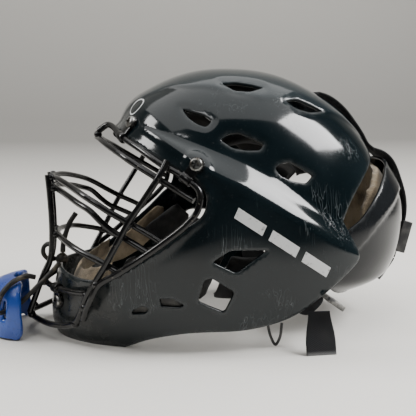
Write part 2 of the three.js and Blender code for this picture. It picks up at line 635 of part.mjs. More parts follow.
// ---------- lace ----------
// Leather lace: a knot on the chin lip, a hanger and a run that goes out through the guard's left slot
// and back over its top, a slack loop between the uprights, and a loose tail.
const laces = {
  lace_hanger: [[-135, -18.6, 62.4], [-141.9, -21.5, 55.5], [-148.4, -25.2, 49.2]],
  lace_run: [
    [-151.4, -26.9, 46.8], [-160, -29, 38.5], [-168, -27.5, 31], [-175.5, -26.5, 26.5], [-182.5, -34, 24.5],
    [-186.8, -38.6, 26.5], [-186, -37.5, 32.5], [-182.8, -34.2, 40.5], [-176.5, -30, 47.6], [-169.5, -25.8, 51.2],
    [-162.5, -22.4, 52.6], [-156, -20.6, 50.8],
  ],
  lace_loop: [
    [-139.4, -7.5, 64], [-145.5, -3.5, 62.5], [-150, -3, 68], [-149, -3.5, 74.5], [-144.5, -5.5, 77],
    [-141.6, -7.5, 73], [-143, -8.6, 66], [-146, -8.6, 59], [-148.6, -7.5, 53], [-149.6, -6.5, 50],
  ],
  lace_tail: [[-132.6, -10, 70], [-132, -8, 78], [-129.8, -8, 86], [-125.6, -8, 96.6], [-120.1, -8, 104.6]],
};
const laceSteps = { lace_hanger: 3, lace_run: 16, lace_loop: 12, lace_tail: 5 };
for (const [name, path] of Object.entries(laces)) {
  add(name, tube(path, laceDiameter, laceSteps[name], laceSides), 'leather');
}
const knot = new THREE.SphereGeometry(1, 10, 8);
knot.scale(5.5, 5.5, 4.6);
knot.translate(-133, -12, 64.9);
add('lace_knot', knot, 'leather');

// Stands the object with the middle of its box over the origin. The lace stays inside that box.
const box = new THREE.Box3().setFromObject(object);
object.position.x = -(box.min.x + box.max.x) / 2;

export default object;
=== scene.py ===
import math

import bpy
import numpy as np
from mathutils import Matrix, Vector, geometry, kdtree


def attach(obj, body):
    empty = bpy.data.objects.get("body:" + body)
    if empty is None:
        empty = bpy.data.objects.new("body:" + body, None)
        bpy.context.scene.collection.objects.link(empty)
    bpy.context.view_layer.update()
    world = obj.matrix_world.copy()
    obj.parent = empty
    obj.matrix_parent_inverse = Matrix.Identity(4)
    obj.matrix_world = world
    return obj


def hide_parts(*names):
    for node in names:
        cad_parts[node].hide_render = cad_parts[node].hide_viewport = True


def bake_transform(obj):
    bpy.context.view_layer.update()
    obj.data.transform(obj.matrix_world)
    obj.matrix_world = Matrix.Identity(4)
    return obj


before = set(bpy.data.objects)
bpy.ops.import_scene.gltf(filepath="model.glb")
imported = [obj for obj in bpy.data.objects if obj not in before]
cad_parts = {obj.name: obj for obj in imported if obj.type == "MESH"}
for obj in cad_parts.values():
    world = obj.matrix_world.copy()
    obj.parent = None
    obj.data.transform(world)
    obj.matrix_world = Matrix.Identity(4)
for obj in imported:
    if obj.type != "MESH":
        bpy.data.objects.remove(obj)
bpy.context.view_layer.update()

bpy.ops.object.select_all(action='DESELECT')
print("frame loaded")

mm = 0.001
originShift = 3.737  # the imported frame's x is this many millimetres more than the drawing's
sides = {"left": -1, "right": 1}


def place(point):
    return Vector(((point[0] + originShift) * mm, point[1] * mm, point[2] * mm))


def mirrored(points, side):
    return [(x, -side * y, z) for x, y, z in points]


# camera
camera = {"at": (-99.5, -585.5, 190.6), "look": (0, 0, 105), "field": 35.75}


def makeCamera():
    bpy.ops.object.camera_add(location=place(camera["at"]))
    cam = bpy.context.object
    cam.name = "viewCamera"
    aim = place(camera["look"]) - cam.location
    cam.rotation_euler = aim.to_track_quat('-Z', 'Y').to_euler()
    cam.data.angle = math.radians(camera["field"])
    cam.data.clip_start = 0.01
    bpy.context.scene.camera = cam


makeCamera()


# curves through points
def runLengths(points):
    # distance travelled along a line, at each of its points
    steps = np.linalg.norm(np.diff(points, axis=0), axis=1)
    return np.concatenate([[0], np.cumsum(steps)])


def throughPoints(points, count, closed=False):
    # centripetal curve, evenly spaced along its length
    p = [np.array(q, float) for q in points]
    n = len(p)
    fine = []
    for i in range(n if closed else n - 1):
        if closed:
            a, b, c, d = p[i - 1], p[i], p[(i + 1) % n], p[(i + 2) % n]
        else:
            a = p[i - 1] if i else 2 * p[0] - p[1]
            b, c = p[i], p[i + 1]
            d = p[i + 2] if i + 2 < n else 2 * p[-1] - p[-2]
        t0 = 0.0
        t1 = t0 + max(np.linalg.norm(b - a), 1e-9) ** 0.5
        t2 = t1 + max(np.linalg.norm(c - b), 1e-9) ** 0.5
        t3 = t2 + max(np.linalg.norm(d - c), 1e-9) ** 0.5
        for t in np.linspace(t1, t2, 24, endpoint=False):
            ab = (a * (t1 - t) + b * (t - t0)) / (t1 - t0)
            bc = (b * (t2 - t) + c * (t - t1)) / (t2 - t1)
            cd = (c * (t3 - t) + d * (t - t2)) / (t3 - t2)
            abc = (ab * (t2 - t) + bc * (t - t0)) / (t2 - t0)
            bcd = (bc * (t3 - t) + cd * (t - t1)) / (t3 - t1)
            fine.append((abc * (t2 - t) + bcd * (t - t1)) / (t2 - t1))
    fine.append(p[0] if closed else p[-1])
    fine = np.array(fine)
    run = runLengths(fine)
    want = np.linspace(0, run[-1], count + 1)
    out = np.stack([np.interp(want, run, fine[:, k]) for k in range(fine.shape[1])], 1)
    return out[:-1] if closed else out


def pathLength(points):
    return float(np.linalg.norm(np.diff(np.array(points, float), axis=0), axis=1).sum())


# materials
def material(name, colour, roughness, metallic=0.0, coat=0.0, coatRoughness=0.05, specular=0.5, sheen=0.0):
    mat = bpy.data.materials.new(name)
    mat.use_nodes = True
    shader = mat.node_tree.nodes["Principled BSDF"]
    shader.inputs["Base Color"].default_value = (*colour, 1)
    shader.inputs["Roughness"].default_value = roughness
    shader.inputs["Metallic"].default_value = metallic
    shader.inputs["Coat Weight"].default_value = coat
    shader.inputs["Coat Roughness"].default_value = coatRoughness
    shader.inputs["Specular IOR Level"].default_value = specular
    shader.inputs["Sheen Weight"].default_value = sheen
    mat.diffuse_color = (*colour, 1)
    return mat


def node(mat, kind, **values):
    made = mat.node_tree.nodes.new(kind)
    for key, value in values.items():
        if key in made.inputs:
            made.inputs[key].default_value = value
        elif hasattr(made, key):
            setattr(made, key, value)
    return made


def link(mat, source, target):
    mat.node_tree.links.new(source, target)


def objectSpace(mat, scale=(1, 1, 1), turn=(0, 0, 0)):
    coords = node(mat, "ShaderNodeTexCoord")
    mapping = node(mat, "ShaderNodeMapping")
    mapping.inputs["Scale"].default_value = scale
    mapping.inputs["Rotation"].default_value = turn
    link(mat, coords.outputs["Object"], mapping.inputs["Vector"])
    return mapping.outputs["Vector"]


def noise(mat, scale, detail=4.0, rough=0.55, stretch=(1, 1, 1), turn=(0, 0, 0), vector=None):
    made = node(mat, "ShaderNodeTexNoise")
    made.inputs["Scale"].default_value = scale
    made.inputs["Detail"].default_value = detail
    made.inputs["Roughness"].default_value = rough
    link(mat, vector or objectSpace(mat, stretch, turn), made.inputs["Vector"])
    return made.outputs["Fac"]


def span(mat, value, low, high, toLow=0.0, toHigh=1.0):
    # maps low..high to toLow..toHigh, clamped
    made = node(mat, "ShaderNodeMapRange")
    made.inputs["From Min"].default_value = low
    made.inputs["From Max"].default_value = high
    made.inputs["To Min"].default_value = toLow
    made.inputs["To Max"].default_value = toHigh
    link(mat, value, made.inputs["Value"])
    return made.outputs["Result"]


def maths(mat, operation, first, second):
    made = node(mat, "ShaderNodeMath", operation=operation)
    for socket, value in zip(made.inputs, (first, second)):
        if isinstance(value, (int, float)):
            socket.default_value = value
        else:
            link(mat, value, socket)
    return made.outputs["Value"]


def times(mat, first, second):
    return maths(mat, 'MULTIPLY', first, second)


def plus(mat, first, second):
    return maths(mat, 'ADD', first, second)


def larger(mat, first, second):
    return maths(mat, 'MAXIMUM', first, second)


def blendColours(mat, factor, first, second, mode='MIX'):
    made = node(mat, "ShaderNodeMix", data_type='RGBA', blend_type=mode)
    for index, value in ((0, factor), (6, first), (7, second)):
        socket = made.inputs[index]
        if isinstance(value, bpy.types.NodeSocket):
            link(mat, value, socket)
        elif isinstance(value, (int, float)):
            socket.default_value = value
        else:
            socket.default_value = (*value, 1)
    return made.outputs[2]


def finishWith(mat, colour=None, roughness=None, height=None, depth=0.0001, strength=1.0):
    shader = mat.node_tree.nodes["Principled BSDF"]
    if colour is not None:
        link(mat, colour, shader.inputs["Base Color"])
    if roughness is not None:
        link(mat, roughness, shader.inputs["Roughness"])
    if height is not None:
        bump = node(mat, "ShaderNodeBump")
        bump.inputs["Distance"].default_value = depth
        bump.inputs["Strength"].default_value = strength
        link(mat, height, bump.inputs["Height"])
        link(mat, bump.outputs["Normal"], shader.inputs["Normal"])
        if shader.inputs["Coat Weight"].default_value > 0:
            link(mat, bump.outputs["Normal"], shader.inputs["Coat Normal"])
    return mat


def attribute(mat, name):
    made = node(mat, "ShaderNodeAttribute")
    made.attribute_name = name
    return made.outputs["Fac"]


def scratchMask(mat, scale, turn, keep):
    # thin straight hairs: stretched noise, only its narrow middle band kept
    streak = noise(mat, scale, 2.0, 0.5, (1, 1, 0.035), turn)
    band = maths(mat, 'ABSOLUTE', maths(mat, 'SUBTRACT', streak, 0.5), 0)
    hair = span(mat, band, 0.0, 0.006, 1.0, 0.0)
    patch = span(mat, noise(mat, 18, 3), keep, keep + 0.08)
    return times(mat, hair, patch)


def glossShell(name, base, dusty, bandHazeAndSheen=None):
    mat = material(name, base, 0.13, coat=0.2, coatRoughness=0.05, specular=0.26)
    cloud = noise(mat, 14, 5)
    colour = blendColours(mat, span(mat, cloud, 0.35, 0.75), base, tuple(c * 1.5 + 0.002 for c in base))
    # the upward-facing crown band is painted lighter and bluer: partly haze, partly a painted reflection of
    # the bright backdrop
    if bandHazeAndSheen:
        colour = blendColours(mat, times(mat, attribute(mat, "band"), 0.55), colour, bandHazeAndSheen)
    hairs = larger(
        mat, scratchMask(mat, 160, (0.4, 0.9, 0.2), 0.55), scratchMask(mat, 130, (1.2, -0.5, 0.9), 0.57)
    )
    hairs = larger(mat, hairs, scratchMask(mat, 210, (-0.7, 0.2, 1.5), 0.6))
    specks = span(mat, noise(mat, 900, 2), 0.70, 0.74)
    scuff = times(mat, attribute(mat, "scuff"), span(mat, noise(mat, 60, 6, 0.65), 0.38, 0.66))
    # rims painted lighter: partly edge wear, partly a painted highlight of light catching the rounded rim
    wearAndSheen = times(mat, attribute(mat, "wearAndSheen"), span(mat, noise(mat, 110, 4), 0.3, 0.6))
    colour = blendColours(mat, times(mat, hairs, 0.3), colour, (0.32, 0.35, 0.36))
    colour = blendColours(mat, times(mat, specks, 0.10), colour, (0.4, 0.4, 0.38))
    colour = blendColours(mat, times(mat, scuff, 0.6), colour, dusty)
    colour = blendColours(mat, times(mat, wearAndSheen, 0.2), colour, (0.08, 0.085, 0.085))
    rough = plus(mat, span(mat, cloud, 0.3, 0.8, 0.09, 0.17), times(mat, hairs, 0.25))
    rough = plus(mat, rough, times(mat, scuff, 0.4))
    rough = plus(mat, rough, times(mat, wearAndSheen, 0.25))
    height = maths(mat, 'SUBTRACT', times(mat, noise(mat, 45, 2), 0.15), times(mat, hairs, 0.5))
    return finishWith(mat, colour, rough, height, 0.00006, 0.7)


def makeMaterials():
    looks = {}
    looks["shell"] = glossShell(
        "shellGloss", (0.0022, 0.0055, 0.007), (0.045, 0.044, 0.04), (0.022, 0.03, 0.034)
    )
    looks["plate"] = glossShell("plateGloss", (0.006, 0.007, 0.008), (0.05, 0.045, 0.04))

    mat = material("wirePaint", (0.006, 0.006, 0.007), 0.2, specular=0.36)
    chips = span(mat, noise(mat, 420, 4, 0.6), 0.66, 0.7)
    colour = blendColours(
        mat, span(mat, noise(mat, 70, 4), 0.4, 0.7), (0.003, 0.003, 0.0035), (0.009, 0.009, 0.0085)
    )
    colour = blendColours(mat, times(mat, chips, 0.45), colour, (0.22, 0.2, 0.17))
    looks["wire"] = finishWith(
        mat, colour, span(mat, noise(mat, 160, 4), 0.3, 0.8, 0.12, 0.3), noise(mat, 600, 3), 0.00004
    )

    mat = material("tarnishedSteel", (0.2, 0.2, 0.19), 0.35, metallic=1.0)
    stain = span(mat, noise(mat, 300, 5), 0.42, 0.66)
    colour = blendColours(mat, stain, (0.24, 0.24, 0.23), (0.07, 0.06, 0.05))
    looks["steel"] = finishWith(
        mat, colour, span(mat, noise(mat, 500, 3), 0.3, 0.7, 0.22, 0.5), noise(mat, 900, 3), 0.00005
    )

    mat = material("blackLining", (0.014, 0.014, 0.015), 0.9, sheen=0.25, specular=0.25)
    knit = node(mat, "ShaderNodeTexVoronoi")
    knit.inputs["Scale"].default_value = 900
    link(mat, objectSpace(mat), knit.inputs["Vector"])
    colour = blendColours(
        mat, span(mat, noise(mat, 50, 5), 0.4, 0.7), (0.009, 0.009, 0.01), (0.035, 0.034, 0.032)
    )
    looks["foam"] = finishWith(mat, colour, None, knit.outputs["Distance"], 0.0004)

    mat = material("tanLining", (0.3, 0.235, 0.155), 0.88, sheen=0.3, specular=0.25)
    knit = node(mat, "ShaderNodeTexVoronoi")
    knit.inputs["Scale"].default_value = 700
    link(mat, objectSpace(mat), knit.inputs["Vector"])
    soil = span(mat, noise(mat, 38, 6, 0.62), 0.4, 0.66)
    colour = blendColours(mat, soil, (0.36, 0.285, 0.19), (0.1, 0.078, 0.05))
    looks["lining"] = finishWith(mat, colour, None, knit.outputs["Distance"], 0.0005)

    mat = material("blackWebbing", (0.012, 0.012, 0.014), 0.85, sheen=0.04, specular=0.2)
    uv = node(mat, "ShaderNodeUVMap", uv_map="run")
    split = node(mat, "ShaderNodeSeparateXYZ")
    link(mat, uv.outputs["UV"], split.inputs["Vector"])
    # the map counts in millimetres: x along the band, y across it
    along = maths(mat, 'SINE', times(mat, split.outputs["X"], 3.6), 0)
    across = maths(mat, 'SINE', times(mat, split.outputs["Y"], 5.2), 0)
    weave = times(mat, along, across)
    dust = span(mat, noise(mat, 90, 5), 0.45, 0.72)
    colour = blendColours(mat, span(mat, weave, -1, 1), (0.003, 0.003, 0.004), (0.02, 0.021, 0.024))
    colour = blendColours(mat, times(mat, dust, 0.2), colour, (0.04, 0.038, 0.035))
    colour = blendColours(mat, times(mat, attribute(mat, "wearAndSheen"), 0.75), colour, (0.24, 0.24, 0.24))
    looks["webbing"] = finishWith(mat, colour, None, weave, 0.00035)

    mat = material("buckleBlack", (0.018, 0.018, 0.019), 0.45)
    colour = blendColours(
        mat, span(mat, noise(mat, 120, 5), 0.45, 0.7), (0.014, 0.014, 0.015), (0.06, 0.058, 0.055)
    )
    looks["buckle"] = finishWith(
        mat, colour, span(mat, noise(mat, 200, 4), 0.3, 0.7, 0.32, 0.6), noise(mat, 700, 3), 0.00008
    )

    mat = material("buckleWorn", (0.2, 0.2, 0.19), 0.5)
    colour = blendColours(
        mat, span(mat, noise(mat, 160, 5), 0.4, 0.64), (0.04, 0.04, 0.04), (0.3, 0.29, 0.27)
    )
    looks["worn_buckle"] = finishWith(
        mat, colour, span(mat, noise(mat, 260, 4), 0.3, 0.7, 0.35, 0.7), noise(mat, 600, 3), 0.0001
    )

    mat = material("guardBlue", (0.012, 0.06, 0.34), 0.3, coat=0.3, coatRoughness=0.2)
    tone = span(mat, noise(mat, 24, 4), 0.35, 0.7)
    colour = blendColours(mat, tone, (0.01, 0.045, 0.27), (0.02, 0.085, 0.42))
    hairs = larger(
        mat, scratchMask(mat, 220, (0.3, 1.0, 0.4), 0.5), scratchMask(mat, 190, (1.0, -0.3, 0.2), 0.52)
    )
    colour = blendColours(mat, times(mat, hairs, 0.5), colour, (0.3, 0.42, 0.75))
    colour = blendColours(
        mat, times(mat, span(mat, noise(mat, 140, 6), 0.6, 0.72), 0.4), colour, (0.02, 0.03, 0.07)
    )
    rough = plus(mat, span(mat, noise(mat, 90, 4), 0.3, 0.7, 0.24, 0.42), times(mat, hairs, 0.2))
    looks["guard"] = finishWith(mat, colour, rough, noise(mat, 260, 4), 0.0001)

    mat = material("laceLeather", (0.03, 0.025, 0.021), 0.6, specular=0.35)
    grain = noise(mat, 520, 6, 0.65)
    rub = span(mat, noise(mat, 75, 5), 0.56, 0.7)
    colour = blendColours(mat, span(mat, grain, 0.35, 0.7), (0.007, 0.007, 0.0065), (0.022, 0.021, 0.019))
    colour = blendColours(mat, times(mat, rub, 0.7), colour, (0.17, 0.14, 0.1))
    looks["leather"] = finishWith(mat, colour, span(mat, grain, 0.3, 0.7, 0.45, 0.75), grain, 0.0005)

    mat = material("ventBlank", (0.03, 0.03, 0.03), 0.7)
    dirt = span(mat, noise(mat, 120, 5), 0.4, 0.7)
    looks["blank"] = finishWith(
        mat, blendColours(mat, dirt, (0.018, 0.018, 0.018), (0.06, 0.058, 0.052)), None, noise(mat, 500, 3),
        0.0002
    )

    looks["mark"] = material("markGrey", (0.55, 0.56, 0.56), 0.45)
    worn = span(looks["mark"], noise(looks["mark"], 300, 5, 0.65), 0.3, 0.42)
    colour = blendColours(looks["mark"], worn, (0.12, 0.13, 0.135), (0.62, 0.63, 0.63))
    finishWith(looks["mark"], colour, None, worn, 0.00002)
    return looks


looks = makeMaterials()
print("materials made")


# piece helpers
def newPiece(name, verts, faces, look, smooth=True):
    mesh = bpy.data.meshes.new(name)
    mesh.from_pydata([tuple(v) for v in verts], [], [tuple(int(i) for i in f) for f in faces])
    mesh.validate()
    piece = bpy.data.objects.new(name, mesh)
    bpy.context.scene.collection.objects.link(piece)
    dress(piece, look, smooth)
    return piece


def dress(piece, look, smooth=True):
    piece.data.materials.clear()
    piece.data.materials.append(looks[look])
    if smooth:
        piece.data.polygons.foreach_set("use_smooth", [True] * len(piece.data.polygons))
    piece.data.update()


def setAttribute(piece, name, values):
    layer = piece.data.attributes.new(name, 'FLOAT', 'POINT')
    layer.data.foreach_set("value", np.asarray(values, np.float32))


def only(piece):
    bpy.ops.object.select_all(action='DESELECT')
    piece.hide_set(False)
    piece.select_set(True)
    bpy.context.view_layer.objects.active = piece


def applyAll(piece):
    only(piece)
    for modifier in list(piece.modifiers):
        bpy.ops.object.modifier_apply(modifier=modifier.name)


def bake(piece):
    # puts the object's own place into its mesh
    only(piece)
    bpy.ops.object.transform_apply(location=True, rotation=True, scale=True)


def facesOut(piece):
    only(piece)
    bpy.ops.object.mode_set(mode='EDIT')
    bpy.ops.mesh.select_all(action='SELECT')
    bpy.ops.mesh.normals_make_consistent(inside=False)
    bpy.ops.object.mode_set(mode='OBJECT')


def bevelEdges(piece, width, segments=2):
    bevel = piece.modifiers.new("edges", 'BEVEL')
    bevel.width = width * mm
    bevel.segments = segments
    bevel.limit_method = 'ANGLE'
    applyAll(piece)


def cutWith(piece, cutter):
    cut = piece.modifiers.new("cut", 'BOOLEAN')
    cut.operation = 'DIFFERENCE'
    cut.object = cutter
    applyAll(piece)
    bpy.data.objects.remove(cutter)


def sweptFaces(rows, ring):
    # quads between neighbouring rings, and a cap at each end
    faces = []
    for i in range(rows - 1):
        for k in range(ring):
            a, b = i * ring + k, i * ring + (k + 1) % ring
            faces.append((a, b, b + ring, a + ring))
    last = (rows - 1) * ring
    faces.append(tuple(range(ring))[::-1])
    faces.append(tuple(last + k for k in range(ring)))
    return faces


def joinPieces(pieces, name):
    bpy.ops.object.select_all(action='DESELECT')
    for piece in pieces:
        piece.select_set(True)
    bpy.context.view_layer.objects.active = pieces[0]
    bpy.ops.object.join()
    pieces[0].name = name
    return pieces[0]


def makeTube(name, points, diameter, look, ring=6):
    curve = bpy.data.curves.new(name, 'CURVE')
    curve.dimensions = '3D'
    curve.bevel_depth = diameter * mm / 2
    curve.bevel_resolution = ring
    curve.use_fill_caps = True
    spline = curve.splines.new('POLY')
    spline.points.add(len(points) - 1)
    for target, point in zip(spline.points, points):
        target.co = (*place(point), 1)
    piece = bpy.data.objects.new(name, curve)
    bpy.context.scene.collection.objects.link(piece)
    only(piece)
    bpy.ops.object.convert(target='MESH')
    dress(piece, look)
    only(piece)
    bpy.ops.object.shade_smooth_by_angle(angle=math.radians(50))
    return piece


# lace, which is the only free cord
laceDiameter = 4.4
lacePaths = {
    "laceHanger": [(-135, -18.6, 62.4), (-141.9, -21.5, 55.5), (-148, -25, 49.5), (-151.4, -26.9, 46.8)],
    "laceRun": [
        (-151.4, -26.9, 46.8), (-160, -29, 38.5), (-168, -27.5, 31), (-175.5, -26.5, 26.5),
        (-182.5, -34, 24.5), (-186.8, -38.6, 26.5), (-186, -37.5, 32.5), (-182.8, -34.2, 40.5),
        (-176.5, -30, 47.6), (-169.5, -25.8, 51.2), (-162.5, -22.4, 52.6), (-156, -20.6, 50.8)
    ],
    "laceLoop": [
        (-139.4, -7.5, 64), (-145.5, -3.5, 62.5), (-150, -3, 68), (-149, -3.5, 74.5), (-144.5, -5.5, 77),
        (-141.6, -7.5, 73), (-143, -8.6, 66), (-146, -8.6, 59), (-148.6, -7.5, 53), (-149.6, -6.5, 50)
    ],
    "laceTail": [
        (-132.6, -10, 70), (-132, -8, 78), (-129.8, -8, 86), (-125.6, -8, 96.6), (-120.1, -8, 104.6)
    ],
}


def laceMesh(name, path):
    # a strip cut from hide: a rounded oblong section, slightly uneven along its run
    line = throughPoints(path, max(14, int(pathLength(path) / 1.6)))
    tangents = np.gradient(line, axis=0)
    tangents /= np.linalg.norm(tangents, axis=1)[:, None]
    ring = 14
    verts = []
    up = np.array([0.15, 0.1, 1.0])
    for i, (point, along) in enumerate(zip(line, tangents)):
        side = np.cross(along, up)
        side /= np.linalg.norm(side)
        over = np.cross(side, along)
        up = over
        wide = laceDiameter / 2 * (1 + 0.05 * math.sin(0.9 * i))
        thin = laceDiameter / 2 * (0.9 + 0.05 * math.sin(0.7 * i + 1))
        for k in range(ring):
            a = 2 * math.pi * k / ring
            c, s = math.cos(a), math.sin(a)
            wideSide = abs(c) ** 0.75 * math.copysign(1, c) * wide
            thinSide = abs(s) ** 0.75 * math.copysign(1, s) * thin
            verts.append(place(point + side * wideSide + over * thinSide))
    piece = newPiece(name, verts, sweptFaces(len(line), ring), "leather")
    facesOut(piece)
    return piece, line


def makeLace():
    hangAndRun = lacePaths["laceHanger"][:-1] + lacePaths["laceRun"]
    run, runLine = laceMesh("guardLace", hangAndRun)
    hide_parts("lace_hanger", "lace_run")
    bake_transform(run)
    loop, loopLine = laceMesh("laceLoopSlack", lacePaths["laceLoop"])
    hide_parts("lace_loop")
    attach(loop, "helmet")
    tail, tailLine = laceMesh("laceTailEnd", lacePaths["laceTail"])
    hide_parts("lace_tail")
    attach(tail, "helmet")

    # two wraps and a cross strand make the knot
    turns = []
    for i in range(57):
        a = 2 * math.pi * i / 20
        turns.append((-133 + 3.1 * math.cos(a), -12 + 3.2 * math.sin(a), 62.9 + 3.6 * i / 56))
    wraps = makeTube("knotWraps", throughPoints(turns, 60), 3.6, "leather")
    crossing = [
        (-136.4, -15.6, 61.8), (-136.6, -12.6, 66.4), (-132.6, -10.2, 68.2), (-129.8, -9.6, 64.6),
        (-131.2, -13.2, 61.6)
    ]
    over = makeTube("knotCross", throughPoints(crossing, 24), 3.6, "leather")
    knot = joinPieces([wraps, over], "laceKnot")
    dress(knot, "leather")
    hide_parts("lace_knot")
    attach(knot, "helmet")


makeLace()
print("lace made")


# the shell surface, the same formula as the solid
shellForm = {
    "centre": (15.0, 120.0), "halfWidth": 101.0, "wall": 3.5, "flare": 14.0, "grid": 0.0235, "rimBulge": 1.0
}
profile = [
    (-80, 184), (-70, 201.5), (-48, 216), (-16, 228), (20, 231), (56, 226.5), (90, 212.5), (121.5, 190.5),
    (144.5, 158.5), (150, 121), (145, 80), (126, 30), (90, -20), (35, -58), (-25, -70), (-80, -57),
    (-120, -32), (-142, 4), (-143, 32), (-136, 58), (-125, 86), (-112, 115), (-96, 150)
]
creaseLine = [(-62, 182), (-40, 174), (-12, 166), (12, 158), (32, 147), (57, 131), (80, 115), (120, 92)]
crestLine = [(-62, 181), (-48, 170), (-20, 149), (-3, 139), (28, 121), (52, 107), (79, 91), (125, 64)]
faceEdge = [
    (-84, 180), (-72, 171), (-48, 154), (-28, 142), (-19, 130), (-22, 116), (-32, 107), (-50, 91), (-69, 77),
    (-83, 67), (-94, 61), (-106, 57.5), (-120, 57), (-142, 60)
]
rearEdge = [(148, 155), (137, 153), (121, 141), (107, 126), (99, 114), (95, 105)]
jawEdge = [
    (103, 90), (107, 76), (93, 62), (71, 44), (50, 29), (17, 20), (-23, 19), (-38, 17), (-62, 10), (-78, 2)
]
ventOutlines = [
    [(-34, 197), (-27, 195), (-16, 192), (-10, 187), (-16, 181), (-24, 184), (-31, 190)],
    [(-7, 172), (0, 177), (10, 178), (30, 169), (26, 163), (14, 163), (3, 165)],
    [(36, 150), (42, 154), (51, 155), (71, 143), (64, 136), (52, 138), (41, 143)],
    [(0, 217), (13, 218), (26, 216), (37, 213), (23, 209), (10, 210)],
    [(52, 203), (64, 205), (77, 200), (90, 194), (74, 193), (62, 196)],
]
cheekOutlines = [
    [(-17, 79), (-2, 89), (29, 88), (4, 68)],
    [(-22, 65), (-16, 67), (4, 54), (-4, 35), (-27, 46)],
]
pocketOutlines = [
    [(-77, 31), (-76, 36), (-67, 41), (-62, 37), (-65, 33)],
    [(-56, 48), (-45, 49), (-35, 43), (-39, 40), (-54, 40)],
]
bandEdge = [
    (-80, 10), (-71, 22), (-62, 30), (-42, 38), (-24, 53), (-1, 64), (32, 73), (60, 68), (90, 58), (118, 44),
    (140, 30)
]


def smoothStep(t):
    t = np.clip(t, 0, 1)
    return t * t * (3 - 2 * t)


def lineAt(line, x):
    a = np.array(line, float)
    return np.interp(x, a[:, 0], a[:, 1])


cx, cz = shellForm["centre"]
spokes = sorted((math.atan2(z - cz, x - cx), math.hypot(x - cx, z - cz)) for x, z in profile)
spokeAngles = np.array([a for a, _ in spokes])
spokeRadii = np.array([r for _, r in spokes])
ringAngles = np.concatenate([spokeAngles[-2:] - 2 * math.pi, spokeAngles, spokeAngles[:3] + 2 * math.pi])
ringRadii = np.concatenate([spokeRadii[-2:], spokeRadii, spokeRadii[:3]])


def outlineRadius(phi):
    a = np.mod(phi - spokeAngles[0], 2 * math.pi) + spokeAngles[0]
    i = np.clip(np.searchsorted(ringAngles, a, side='right') - 1, 1, len(ringAngles) - 3)
    gap = ringAngles[i + 1] - ringAngles[i]
    t = (a - ringAngles[i]) / gap
    m1 = gap * (ringRadii[i + 1] - ringRadii[i - 1]) / (ringAngles[i + 1] - ringAngles[i - 1])
    m2 = gap * (ringRadii[i + 2] - ringRadii[i]) / (ringAngles[i + 2] - ringAngles[i])
    h1 = 2 * t ** 3 - 3 * t ** 2 + 1
    return h1 * ringRadii[i] + (
        t ** 3 - 2 * t ** 2 + t
    ) * m1 + (1 - h1) * ringRadii[i + 1] + (t ** 3 - t ** 2) * m2


def squareness(phi):
    away = np.arctan2(np.sin(phi + math.radians(30)), np.cos(phi + math.radians(30)))
    return 2.15 + 0.15 * np.sin(phi) + 1.5 * np.exp(-(away / math.radians(38)) ** 2)


def earFactor(x, z):
    crease = lineAt(creaseLine, x)
    depth = np.maximum(crease - lineAt(crestLine, x), 1)
    share = smoothStep((crease - z) / depth) * smoothStep((x + 95) / 80)
    return 1 + shellForm["flare"] * share / shellForm["halfWidth"]


def distanceTo(line, x, z):
    # shortest distance from points to a broken line, in the side view
    best = np.full(np.shape(x), 1e9)
    for (x0, z0), (x1, z1) in zip(line[:-1], line[1:]):
        dx, dz = x1 - x0, z1 - z0
        t = np.clip(((x - x0) * dx + (z - z0) * dz) / (dx * dx + dz * dz + 1e-12), 0, 1)
        best = np.minimum(best, np.hypot(x - x0 - t * dx, z - z0 - t * dz))
    return best


def roundedLoop(points, radius, arc=5, spacing=2.2):
    # the outline with each corner turned on a small arc, then closed
    out = []
    count = len(points)
    for i in range(count):
        corner, before, after = (np.array(points[k % count], float) for k in (i, i - 1, i + 1))
        first, second = before - corner, after - corner
        reach = min(radius, np.linalg.norm(first) * 0.42, np.linalg.norm(second) * 0.42)
        a = corner + first / np.linalg.norm(first) * reach
        b = corner + second / np.linalg.norm(second) * reach
        for t in np.linspace(0, 1, arc):
            out.append((1 - t) ** 2 * a + 2 * t * (1 - t) * corner + t * t * b)
    loop = [out[0]]
    for point in out[1:] + [out[0]]:
        gap = point - loop[-1]
        steps = max(1, int(np.linalg.norm(gap) / spacing))
        base = loop[-1]
        loop += [base + gap * (k + 1) / steps for k in range(steps)]
    return [tuple(q) for q in loop]


ventLines = [roundedLoop(points, 3.0) for points in ventOutlines]
cheekLines = [roundedLoop(points, 4.0) for points in cheekOutlines]
pocketLines = [roundedLoop(points, 2.5) for points in pocketOutlines]
faceLine = [tuple(q) for q in throughPoints(faceEdge, 150)]


# moulded details: how far each stands out or dips, and how wide it is, in millimetres
relief = {
    "band": 0.9, "faceLip": 1.3, "faceLipWidth": 6.0, "boss": 2.0, "bossAt": (-25.7, 153.0),
    "bossRadius": 12.5,
    "ventDip": 0.9, "ventDipWidth": 6.0,
}


def bandShare(x, y, z):
    return smoothStep((lineAt(bandEdge, x) - np.abs(y)) / 5 + 0.5) * smoothStep((z - 140) / 20)


def detailHeight(x, y, z):
    height = relief["band"] * bandShare(x, y, z)
    height = height + relief["faceLip"] * smoothStep(
        1.15 - distanceTo(faceLine[::3], x, z) / relief["faceLipWidth"]
    )
    boss = np.hypot(x - relief["bossAt"][0], z - relief["bossAt"][1])
    height = height + relief["boss"] * smoothStep((relief["bossRadius"] - boss) / 4)
    for line in ventLines:
        away = distanceTo(line[::2] + [line[0]], x, z) / relief["ventDipWidth"]
        height = height - relief["ventDip"] * smoothStep(1 - away)
    return height


